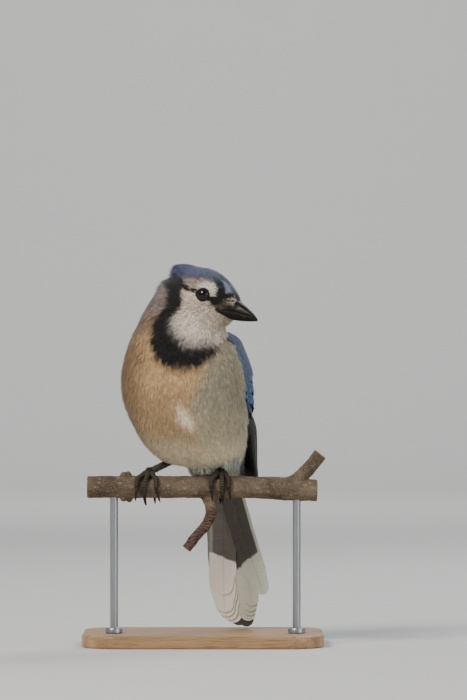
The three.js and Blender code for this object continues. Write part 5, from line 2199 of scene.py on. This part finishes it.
@dataclass(frozen=True)
class Tail:
    """Twelve tail feathers, blue and barred above, dark with white tips beneath."""

    # the outermost feather on the bird's left has strayed from the closed tail
    left: tuple[Rectrix, ...] = (
        Rectrix(116.5, 0.6, 0.02, 0.0, 0, 17), Rectrix(112.5, 1.2, 0.035, 0.0, 34, 17.5),
        Rectrix(108.5, 1.8, 0.05, 0.0, 31, 17.5), Rectrix(105.5, 2.4, 0.06, 0.0, 29, 17.5),
        Rectrix(101.5, 2.8, 0.08, 0.0, 27, 17.5), Rectrix(93, 1.4, 0.085, 0.0015, 24, 18))
    right: tuple[Rectrix, ...] = (
        Rectrix(116, 0.6, 0.02, 0.0, 0, 17), Rectrix(114, 2.8, 0.028, 0.0, 34, 18),
        Rectrix(112, 3.8, 0.04, 0.0, 31, 18), Rectrix(109.5, 4.3, 0.05, 0.0, 29, 18),
        Rectrix(106.5, 4.4, 0.053, 0.0, 27, 18), Rectrix(94.5, -0.4, 0.1, 0.0, 24.5, 18.5))
    layer: float = 0.8

    def make(self, finish: Material) -> None:
        """Makes the tail.

        Args:
            finish: the finish.
        """
        sheets = Sheets(cells=(8, 3), seed=7)
        for side in Side:
            for pair, vane in enumerate(self.left if side is Side.LEFT else self.right):
                height = (6 - pair) * self.layer + (0.0 if side is Side.LEFT else 0.4) + 0.5

                def place(share: Array, across: Array, high: Array) -> Array:
                    """Points of this feather on the tail.

                    Args:
                        share: shares along it.
                        across: millimetres across it.
                        high: heights over its middle.

                    Returns:
                        The points.
                    """
                    down = share * vane.length
                    aside = side.value * (vane.root + vane.lean * down + vane.curve * down * down)
                    slope = side.value * (vane.lean + 2 * vane.curve * down)
                    return FORM.on_tail(down - across * slope, aside + across, height + high)

                white = min(vane.white, 5 + 3.2 * pair) if pair else 0.0
                top = Look(0x43689A, 0xE8E6E0, bar=1.0, white=white)
                # the bird's left half, turned from the light, has darker, greener colours as painted shade;
                # its right half has paler lit ones
                dark, pale, rim = ((0x524E47, 0xCCD0BC, 0.95) if side is Side.LEFT
                                   else (0x66625B, 0xFBF7E8, 0.2))
                edge = rim if pair == 5 else 0.12
                under = Look(dark, pale, white=vane.white, edge=edge, shaft=0.15)
                sheets.add(place, vane.length, vane.width, top, under, rows=44, tip=0.36, thick=0.5,
                           shaft=0.35, cup=0.5, flip=-side.value)
        shown("tail_feathers", sheets.mesh("tail_feathers"), [finish], ["tail"])


# Bill and eyes


@dataclass(frozen=True)
class Bill:
    """Both halves of the bill."""

    # sections: forward, top, mouth line, bottom, half width
    rows: Array = field(default_factory=lambda: np.array([
        [15.0, -3.3, -3.7, -4.6, 10.0], [16.4, -2.4, -3.6, -6.0, 9.75], [18, -1.2, -3.5, -7.0, 9.2],
        [20, 0.8, -3.5, -7.9, 8.35], [22, 2.4, -3.5, -8.6, 7.4], [24.5, 3.4, -3.5, -8.9, 6.0],
        [29.5, 1.6, -3.6, -8.5, 3.95], [34.5, -0.7, -3.9, -7.9, 2.8], [38.5, -3.1, -4.7, -7.2, 1.6],
        [41, -4.9, -5.7, -6.7, 0.8], [42, -5.6, -6.0, -6.5, 0.3]]))
    gap: float = 0.3
    steps: int = 70
    sides: int = 40
    nostril: tuple[float, float, float] = (27.4, 3.6, -0.4)
    nostril_radii: tuple[float, float, float] = (1.7, 1.6, 0.9)

    def half(self, upper: bool) -> Array:
        """Rings of one half, as rings by points by 3.

        Args:
            upper: whether it is the upper half.

        Returns:
            The rings.
        """
        shares = np.linspace(0, 1 if upper else 0.955, self.steps)[:, None]
        forward, top, mouth, bottom, half = (along(self.rows, shares, k) for k in range(5))
        sign = 1 if upper else -1
        reach = (top - mouth) if upper else (mouth - bottom)
        arch = np.linspace(0, math.pi, self.sides)[None]
        across = np.cos(arch) * half
        rise = mouth + sign * (self.gap / 2 + np.maximum(np.sin(arch), 0) ** 0.85 * np.maximum(reach, 0.1))
        floor = np.linspace(-1, 1, 14)[None, 1:-1]
        inner = mouth + sign * (self.gap / 2 + 0.25 * (1 - floor ** 2) * (reach > 1))
        wide = np.concatenate([across, floor * half], 1)
        high = np.concatenate([rise, inner], 1)
        ahead = np.broadcast_to(forward, wide.shape)
        if upper:
            for side in (1, -1):
                centre = self.nostril[0], side * self.nostril[1], self.nostril[2]
                off = np.sqrt(sum(((v - c) / r) ** 2 for v, c, r in zip(
                    (ahead, wide, high), centre, self.nostril_radii)))
                wide = wide - side * 0.3 * np.exp(-off ** 3)
        return HEAD.at(ahead, wide, high)

    def make(self, finish: Material) -> None:
        """Makes both halves.

        Args:
            finish: the finish.
        """
        for name, upper in (("upper", True), ("lower", False)):
            mesh = settled(lofted(self.half(upper)), f"bill_half_{name}")
            local = HEAD.local(read(mesh, "co") / MM)
            mouth = np.interp(local[:, 0], self.rows[:, 0], self.rows[:, 2])
            # the pale mouth line is a painted highlight, and the pale tip is pale horn with a painted
            # highlight
            mouth_line_highlight = fade(np.abs(local[:, 2] - mouth), 0.2, 0.8)
            add_values(mesh, "Worn", np.clip(0.9 * smooth(local[:, 0], 39.6, 41.4) + 0.3 * mouth_line_highlight, 0, 1))
            shown(f"bill_half_{name}", mesh, [finish], [f"bill_{name}"])


@dataclass(frozen=True)
class Eyes:
    """Eyeballs and the lids round them."""

    lid_radius: float = 3.86
    lid_depth: float = 2.78
    lid_width: float = 0.55
    lid_height: float = 0.3
    beads: int = 34

    def ring(self, side: Side) -> BMesh:
        """The lids of one eye.

        Args:
            side: which eye.

        Returns:
            The bmesh.
        """
        eye = EYES.axes(side)

        def place(round_share: Array, section: Array) -> Array:
            """Points of the lids.

            Args:
                round_share: shares round the eye.
                section: shares round the lids' section.

            Returns:
                The points.
            """
            turn, loop = 2 * math.pi * round_share, 2 * math.pi * section
            behind, ahead = (0, math.pi) if side is Side.LEFT else (math.pi, 0)
            rear, front = (np.exp(-(((turn - corner + math.pi) % (2 * math.pi) - math.pi) / soft) ** 2)
                           for corner, soft in ((behind, 0.32), (ahead, 0.3)))
            bead = 0.04 * np.sin(turn * self.beads) * np.maximum(np.cos(loop), 0)
            wide, high = self.lid_width * np.cos(loop), self.lid_height * np.sin(loop)
            r = self.lid_radius + wide * 0.79 + high * 0.61 + 0.75 * rear + 0.3 * front
            depth = self.lid_depth - wide * 0.61 + high * 0.79 + bead
            return eye.at(depth - 0.3 * rear, np.cos(turn) * r, np.sin(turn) * r)

        return wrapped(96, 20, place)

    def make(self, lid: Material, ball: Eyeball) -> None:
        """Makes both eyes.

        Args:
            lid: the lids' finish.
            ball: the eyeballs' finish, made once for each eye.
        """
        for side in Side:
            name = side.name.lower()
            bm = bmesh.new()
            bmesh.ops.create_uvsphere(bm, u_segments=72, v_segments=48, radius=EYES.radius * MM)
            bmesh.ops.translate(bm, verts=bm.verts, vec=EYES.axes(side).origin * MM)
            shown(f"eyeball_{name}", settled(bm, f"eyeball_{name}"), [ball.material(side)],
                  [f"eye_{name}"])
            mesh = settled(self.ring(side), f"lids_{name}")
            add_values(mesh, "Worn", np.zeros(len(mesh.vertices)))
            shown(f"lids_{name}", mesh, [lid])


# Legs and claws


@dataclass(frozen=True)
class Toe:
    """One toe and its claw."""

    base: float
    end: float
    turn: float
    lean: float
    claw: float


@dataclass(frozen=True)
class Foot:
    """One foot: where it grips the perch, its heel and its toes."""

    x: float
    heel: tuple[float, float, float]
    toes: tuple[Toe, ...]


FEET = {
    "right": Foot(-33.5, (-17.5, 9, 117), (Toe(-36, -41.6, 176, -0.6, 5), Toe(-34.5, -36.8, 214, 0.8, 10),
                                           Toe(-32.5, -29.3, 182, 1.6, 5), Toe(-33, -31, -14, 0.6, 9.5))),
    "left": Foot(11.6, (12.5, 12, 118), (Toe(13.6, 16.3, 180, 1, 5), Toe(11.8, 12.2, 210, 0.3, 7),
                                         Toe(9.6, 5.2, 176, 0.6, 5), Toe(11.4, 10.6, -14, 0.2, 9.5))),
}


@dataclass(frozen=True)
class Legs:
    """Scaled shanks, ringed toes and curved claws, closed round the perch."""

    perch_radius: float = 7.0
    tarsus: float = 2.35
    toe: float = 1.75
    over: float = 1.75
    start: float = 94.0

    def grip(self, x: Array, angle: Array, over: Array) -> Array:
        """Points round the perch, by the angle from its back over its top to the front.

        Args:
            x: how far along the perch.
            angle: the angle in degrees.
            over: how far over the bark.

        Returns:
            The points.
        """
        reach, turn = self.perch_radius + over, np.radians(angle)
        return np.stack(np.broadcast_arrays(x, FORM.perch_back + np.cos(turn) * reach,
                                            FORM.perch_height + np.sin(turn) * reach), -1)

    def shank(self, foot: Foot, bm: BMesh) -> None:
        """The scaled shank from the heel to the foot, which flares where the toes begin.

        Args:
            foot: the foot.
            bm: takes the faces.
        """
        ankle = self.grip(foot.x, self.start, self.over + 1.0)
        heel = np.array(foot.heel)
        path = curve([heel + (heel - ankle) * 0.22, heel, lerp(heel, ankle, 0.5), ankle], 130)
        s = np.linspace(0, 1, 131)[:, None]
        turns = np.linspace(0, 2 * math.pi, 28, endpoint=False)[None]
        step = (s * 10 + 0.3 * np.cos(turns)) % 1
        scute = 0.09 * (1 - step) ** 2 + 0.05 * np.exp(-((step - 0.94) / 0.05) ** 2)
        knob = 0.24 * np.exp(-((s - 0.26) / 0.09) ** 2) + 0.32 * smooth(s, 0.86, 1.0)
        keel = 0.1 * np.cos(2 * turns)
        worn = 0.45 + 0.4 * smooth(step, 0.8, 0.97) + 0 * turns
        lofted(tube_rings(path, self.tarsus * (0.94 + scute + knob + keel), 28), bm, worn)

    def digit(self, foot: Foot, toe: Toe, bm: BMesh) -> None:
        """A toe with its ringed upper side and the pads beneath.

        Args:
            foot: the foot.
            toe: the toe.
            bm: takes the faces.
        """
        back = toe.turn < self.start
        k = np.linspace(0, 1, 5)
        angle = lerp(self.start + (-6 if back else 6), toe.turn, k)
        path = self.grip(lerp(toe.base, toe.end, smooth(k, 0, 0.7)), angle, self.over + 0.5 * (1 - k))
        first = self.grip(lerp(foot.x, toe.base, 0.3), self.start, self.over + 1.6)
        line = curve(np.concatenate([first[None], path]), 140)
        s = np.linspace(0, 1, 141)[:, None]
        turns = np.linspace(0, 2 * math.pi, 24, endpoint=False)[None]
        ring = (s * 15) % 1
        pads = 0.08 * np.cos(s * math.pi * 6) * (1 - 0.4 * s)
        scale = 0.11 * np.exp(-((ring - 0.5) / 0.4) ** 4) + 0 * turns
        radius = self.toe * (0.93 - 0.22 * s + pads + scale)
        # pale narrow rings at the scutes' ends and a faint band between them are painted highlights
        worn = 0.9 * np.exp(-((ring - 0.86) / 0.09) ** 2) + 0.1 * np.exp(-((ring - 0.3) / 0.2) ** 2)
        lofted(tube_rings(line, np.broadcast_to(radius, (141, 24)), 24), bm, worn + 0 * turns)

    def claw(self, toe: Toe, bm: BMesh) -> None:
        """A claw that goes on from its toe.

        Args:
            toe: the toe.
            bm: takes the faces.
        """
        onward = -1 if toe.turn < self.start else 1
        share = np.array([0, 0.35, 0.7, 1.0])
        angle = toe.turn + onward * (5 + 52 * share)
        over = self.over + 1.2 * np.sin(share * math.pi) + 1.4 * share
        path = self.grip(toe.end + toe.lean * share * 1.6, angle, over)
        path[:, 2] -= 0.12 * toe.claw * share ** 2
        path[0] = self.grip(toe.end, toe.turn + onward * 5, self.over)
        before = self.grip(toe.end, toe.turn - onward * 6, self.over)
        line = curve(np.concatenate([before[None], path]), 44)
        s = np.linspace(0, 1, 45)
        radius = 1.16 * (1 - np.clip((s - 0.15) / 0.85, 0, 1)) ** 0.75 + 0.1
        lofted(tube_rings(line, radius, 18), bm)

    def make(self, scaled: Material, horn: Material) -> None:
        """Makes both legs.

        Args:
            scaled: the finish of shanks and toes.
            horn: the claws' finish.
        """
        for name, foot in FEET.items():
            bm = bmesh.new()
            self.shank(foot, bm)
            for toe in foot.toes:
                self.digit(foot, toe, bm)
            bmesh.ops.create_uvsphere(bm, u_segments=32, v_segments=24, radius=1.0)
            ball = [v for v in bm.verts if v.co.length > 0.9]
            centre = self.grip(foot.x, self.start, self.over + 1.2)
            for vert in ball:
                vert.co = (np.array(vert.co) * [3.0, 2.8, 2.3] + centre) * MM
            mesh = settled(bm, f"shank_and_toes_{name}")
            shown(f"shank_and_toes_{name}", mesh, [scaled], [f"leg_{name}"])
            bm = bmesh.new()
            for toe in foot.toes:
                self.claw(toe, bm)
            mesh = settled(bm, f"talons_{name}")
            add_values(mesh, "Worn", np.zeros(len(mesh.vertices)))
            shown(f"talons_{name}", mesh, [horn], [f"claw_{name}_{i + 1}" for i in range(4)])


# Perch and stand


@dataclass(frozen=True)
class Perch:
    """A length of dead branch with a fork, a hanging twig and two pairs of buds."""

    radius: float = 7.0
    ends: tuple[float, float] = (-73.0, 72.0)
    sag: float = 2.2
    voxel: float = 0.62
    fork: tuple[tuple[float, float, float], ...] = ((46, 0, -1), (56, 0, 2.5), (66, 1, 11), (74, 2, 21))
    twig: tuple[tuple[float, float, float], ...] = ((1, 0, -1), (5.2, 0, -13), (2.6, 1, -23),
                                                    (-4.4, 2, -31), (-10.4, 3, -39))
    buds: tuple[tuple[float, float, float], ...] = ((-50, 2, 7.4), (-47.2, 0, 7.7), (-50, 2, -7.0),
                                                    (-46.6, 0, -7.4))

    def axis(self, x: Array) -> Array:
        """The branch's axis."""
        return np.stack([x, 0 * x + FORM.perch_back,
                         FORM.perch_height - self.sag * smooth(x, 20, 80)], -1)

    def at(self, places: Sequence[Sequence[float]]) -> Array:
        """Places along the perch, to its front and up from its axis, as points."""
        rows = np.array(places, float)
        return np.stack([rows[:, 0], FORM.perch_back - rows[:, 1], FORM.perch_height + rows[:, 2]], -1)

    def make(self, finish: Material) -> None:
        """Makes the perch.

        Args:
            finish: the finish.
        """
        whole = bmesh.new()
        x = np.linspace(self.ends[0], self.ends[1], 150)
        knots = 1 + 0.09 * np.exp(-((x + 48.5) / 3.2) ** 2) + 0.06 * np.exp(-((x - 50) / 6) ** 2)
        lofted(tube_rings(self.axis(x), (self.radius - 0.15) * knots, 48), whole)
        for path, radii in ((self.fork, (5.9, 4.4)), (self.twig, (4.5, 3.1))):
            line = curve(self.at(path), 60)
            s = np.linspace(0, 1, 61)
            lofted(tube_rings(line, lerp(radii[0], radii[1], smooth(s, 0, 0.5)), 28), whole)
        for place in self.at(self.buds):
            before = set(whole.verts)
            bmesh.ops.create_uvsphere(whole, u_segments=16, v_segments=12, radius=1.0)
            for vert in set(whole.verts) - before:
                vert.co = (np.array(vert.co) * [2.2, 2.2, 2.4] + place) * MM
        mesh = fused(whole, "branch", self.voxel, 2)
        points, normals = read(mesh, "co") / MM, read(mesh, "normal")
        cut = smooth(-normals[:, 0], 0.8, 0.95) * smooth(-points[:, 0], 70.5, 71.5)
        cut += smooth(normals[:, 0], 0.8, 0.95) * smooth(points[:, 0], 69.5, 70.5)
        for path, reach in ((self.fork, 6), (self.twig, 5)):
            before, end = self.at(path)[-2:]
            close = np.linalg.norm(points - end, axis=1) < reach
            cut += smooth(normals @ unit(end - before), 0.8, 0.95) * close
        cut = np.clip(cut, 0, 1)
        knot = np.clip(sum(np.exp(-(np.linalg.norm(points - bud, axis=1) / 3.0) ** 4)
                           for bud in self.at(self.buds)), 0, 1)
        long_points = points * [0.35, 1, 1]
        rough = (0.22 * mottle(points * [0.5, 1, 1], 9, 1) + 0.16 * mottle(long_points, 3.4, 2)
                 + 0.07 * mottle(long_points, 1.6, 3))
        points += normals * (rough * (1 - 0.75 * cut) + 0.05)[:, None]
        moved(mesh, points)
        mesh.update()
        add_values(mesh, "Cut", cut)
        line = curve(self.at(self.twig), 12)[4:]
        off = np.linalg.norm(points[:, None] - line[None], axis=2).min(1)
        add_values(mesh, "Knot", np.clip(0.6 * knot + 1.0 - smooth(off, 3.6, 6.2), 0, 1) * (1 - cut))
        shown("branch", mesh, [finish], ["perch"])


@dataclass(frozen=True)
class Stand:
    """A rounded wooden base with two steel rods."""

    size: tuple[float, float, float] = (152.0, 104.0, 8.0)
    corner: float = 24.0
    edge: float = 1.4
    rods: tuple[tuple[str, float], ...] = (("left", -56.0), ("right", 59.0))
    rod_radius: float = 2.5
    collar_radius: float = 5.5
    collar_height: float = 3.0

    def base(self) -> Mesh:
        """The base.

        Returns:
            The mesh.
        """
        bm = bmesh.new()
        bmesh.ops.create_cube(bm, size=1.0)
        bmesh.ops.scale(bm, verts=bm.verts, vec=np.array(self.size) * MM)
        bmesh.ops.translate(bm, verts=bm.verts, vec=(0, 0, self.size[2] / 2 * MM))
        upright = [e for e in bm.edges if abs(e.verts[0].co.z - e.verts[1].co.z) > 1e-6]
        bmesh.ops.bevel(bm, geom=upright, offset=self.corner * MM, segments=16, profile=0.5,
                        affect="EDGES", material=-1)
        rim = [e for e in bm.edges if abs(e.verts[0].co.z - e.verts[1].co.z) < 1e-6]
        bmesh.ops.bevel(bm, geom=rim, offset=self.edge * MM, segments=5, profile=0.5, affect="EDGES",
                        material=-1)
        mesh = settled(bm, "wood_base")
        mesh.set_sharp_from_angle(angle=math.radians(40))
        return mesh

    def rod(self, name: str, x: float) -> Mesh:
        """A rod with its collar, turned as one piece.

        Args:
            name: left or right.
            x: where it stands.

        Returns:
            The mesh.
        """
        foot = self.size[2] + 0.3
        top = float(Perch().axis(np.array(x))[2]) - 6.3
        r, c, h = self.rod_radius, self.collar_radius, self.collar_height
        profile = [(0, foot), (c - 0.2, foot), (c, foot + 0.2), (c, foot + h - 0.8),
                   (c - 0.25, foot + h - 0.25), (c - 0.8, foot + h), (r + 0.3, foot + h),
                   (r, foot + h + 0.3), (r, top), (0, top)]
        bm = bmesh.new()
        verts = [bm.verts.new((Vector((x + a, FORM.perch_back, z))) * MM) for a, z in profile]
        edges = [bm.edges.new(pair) for pair in zip(verts, verts[1:])]
        bmesh.ops.spin(bm, geom=verts + edges, cent=(x * MM, FORM.perch_back * MM, 0), axis=(0, 0, 1),
                       dvec=(0, 0, 0), angle=2 * math.pi, steps=48, use_merge=True)
        bmesh.ops.remove_doubles(bm, verts=bm.verts, dist=1e-6)
        mesh = settled(bm, f"steel_rod_{name}")
        mesh.set_sharp_from_angle(angle=math.radians(35))
        return mesh

    def make(self, wood: Material, steel: Material) -> None:
        """Makes the stand.

        Args:
            wood: the base's finish.
            steel: the rods' finish.
        """
        shown("wood_base", self.base(), [wood], ["stand_base"])
        for name, x in self.rods:
            shown(f"steel_rod_{name}", self.rod(name, x), [steel], [f"stand_rod_{name}"])


# The studio


@dataclass(frozen=True)
class Lamp:
    """An area light, which looks at the bird unless it is given another place."""

    name: str
    place: tuple[float, float, float]
    size: float
    power: float
    colour: tuple[float, float, float] = (1.0, 1.0, 1.0)
    target: tuple[float, float, float] = (0.0, -0.016, 0.16)


@dataclass(frozen=True)
class Studio:
    """Camera, lights and a pale paper sweep."""

    camera: tuple[float, float, float] = (0.0192, -3.016, 0.1863)
    lens: float = 245.0
    lamps: tuple[Lamp, ...] = (
        Lamp("key", (-1.3, -1.6, 1.9), 0.8, 62.0, (1.0, 0.965, 0.91)),
        Lamp("fill", (1.8, -1.5, 0.7), 1.4, 13.0, (0.93, 0.96, 1.0)),
        Lamp("rim", (0.8, 1.2, 1.5), 0.8, 16.0, (0.97, 0.98, 1.0)),
        Lamp("wash", (0.0, 2.5, 1.5), 1.3, 17.0, (1.0, 1.0, 1.0), (0.0, 4.4, 0.3)))

    def sweep(self, finish: Material) -> None:
        """The paper, flat in front and curved up behind.

        Args:
            finish: the paper's finish.
        """
        rows = [(-4.2, 0.0), (3.3, 0.0)]
        rows += [(3.3 + 0.9 * math.sin(a), 0.9 - 0.9 * math.cos(a)) for a in np.linspace(0.1, 1.5, 20)]
        rows += [(4.2, 0.95), (4.2, 4.5)]
        bm = bmesh.new()
        line = [bm.verts.new((-5.0, y, z)) for y, z in rows]
        edges = [bm.edges.new(pair) for pair in zip(line, line[1:])]
        made = bmesh.ops.extrude_edge_only(bm, edges=edges)["geom"]
        bmesh.ops.translate(bm, verts=[g for g in made if isinstance(g, bmesh.types.BMVert)],
                            vec=(10.0, 0, 0))
        paper = placed("paper", settled(bm, "paper"))
        paper.data.materials.append(finish)

    def make(self, finish: Material) -> None:
        """Sets up the studio.

        Args:
            finish: the paper's finish.
        """
        self.sweep(finish)
        scene = bpy.context.scene
        camera = placed("camera", bpy.data.cameras.new("camera"))
        camera.location, camera.rotation_euler = self.camera, (math.pi / 2, 0, 0)
        camera.data.lens, camera.data.sensor_width, camera.data.sensor_fit = self.lens, 36.0, "AUTO"
        camera.data.clip_end = 30.0
        camera.data.dof.use_dof = False
        scene.camera = camera
        for lamp in self.lamps:
            light = bpy.data.lights.new(lamp.name, "AREA")
            light.size, light.energy, light.color = lamp.size, lamp.power, lamp.colour
            holder = placed(lamp.name, light)
            holder.location = lamp.place
            way = Vector(lamp.target) - Vector(lamp.place)
            holder.rotation_euler = way.to_track_quat("-Z", "Y").to_euler()
        world = bpy.data.worlds.new("studio")
        world.use_nodes = True
        back = world.node_tree.nodes["Background"]
        back.inputs["Color"].default_value = (0.86, 0.9, 1.0, 1.0)
        back.inputs["Strength"].default_value = 0.42
        scene.world = world


def main() -> None:
    """Makes every piece."""
    logging.basicConfig(level=logging.INFO, format="%(message)s")
    down = Down().material()
    skin = Skin()
    skin.make()
    marks = Markings(skin)
    add_values(skin.mesh, "Tint", marks.colours(skin.points) * 0.6)
    shown("skin", skin.mesh, [down], ["torso", "neck", "head"])
    coat = Coat(skin, marks)
    coat.body_feathers(down)
    coat.head_feathers(down)
    coat.crest(down)
    coat.nasal_tufts(down)
    coat.shoulders(down)
    coat.flanks(down)
    coat.vent_tufts(down)
    vane = Vane("vane").material()
    Wings().make(vane)
    Tail().make(vane)
    bill = Horn("bill_horn", 0x100D0A, worn=0x5E5442, roughness=0.4, stretch=(0.35, 0.35, 1.0),
                specular=0.2)
    Bill().make(bill.material())
    lid = Horn("lid", 0x100D0C, worn=0x2A2420, roughness=0.55, specular=0.2)
    Eyes().make(lid.material(), Eyeball())
    scaled = Horn("scaled_leg", 0x1F1A13, worn=0x6C6254, roughness=0.6, grain=900, depth=0.00015,
                  specular=0.18)
    claw = Horn("claw_horn", 0x1D1610, worn=0x5A4028, roughness=0.4, specular=0.25)
    Legs().make(scaled.material(), claw.material())
    Perch().make(Bark().material())
    Stand().make(Wood().material(), Steel().material())
    Studio().make(Backdrop().material())


if __name__ == "__main__":
    main()
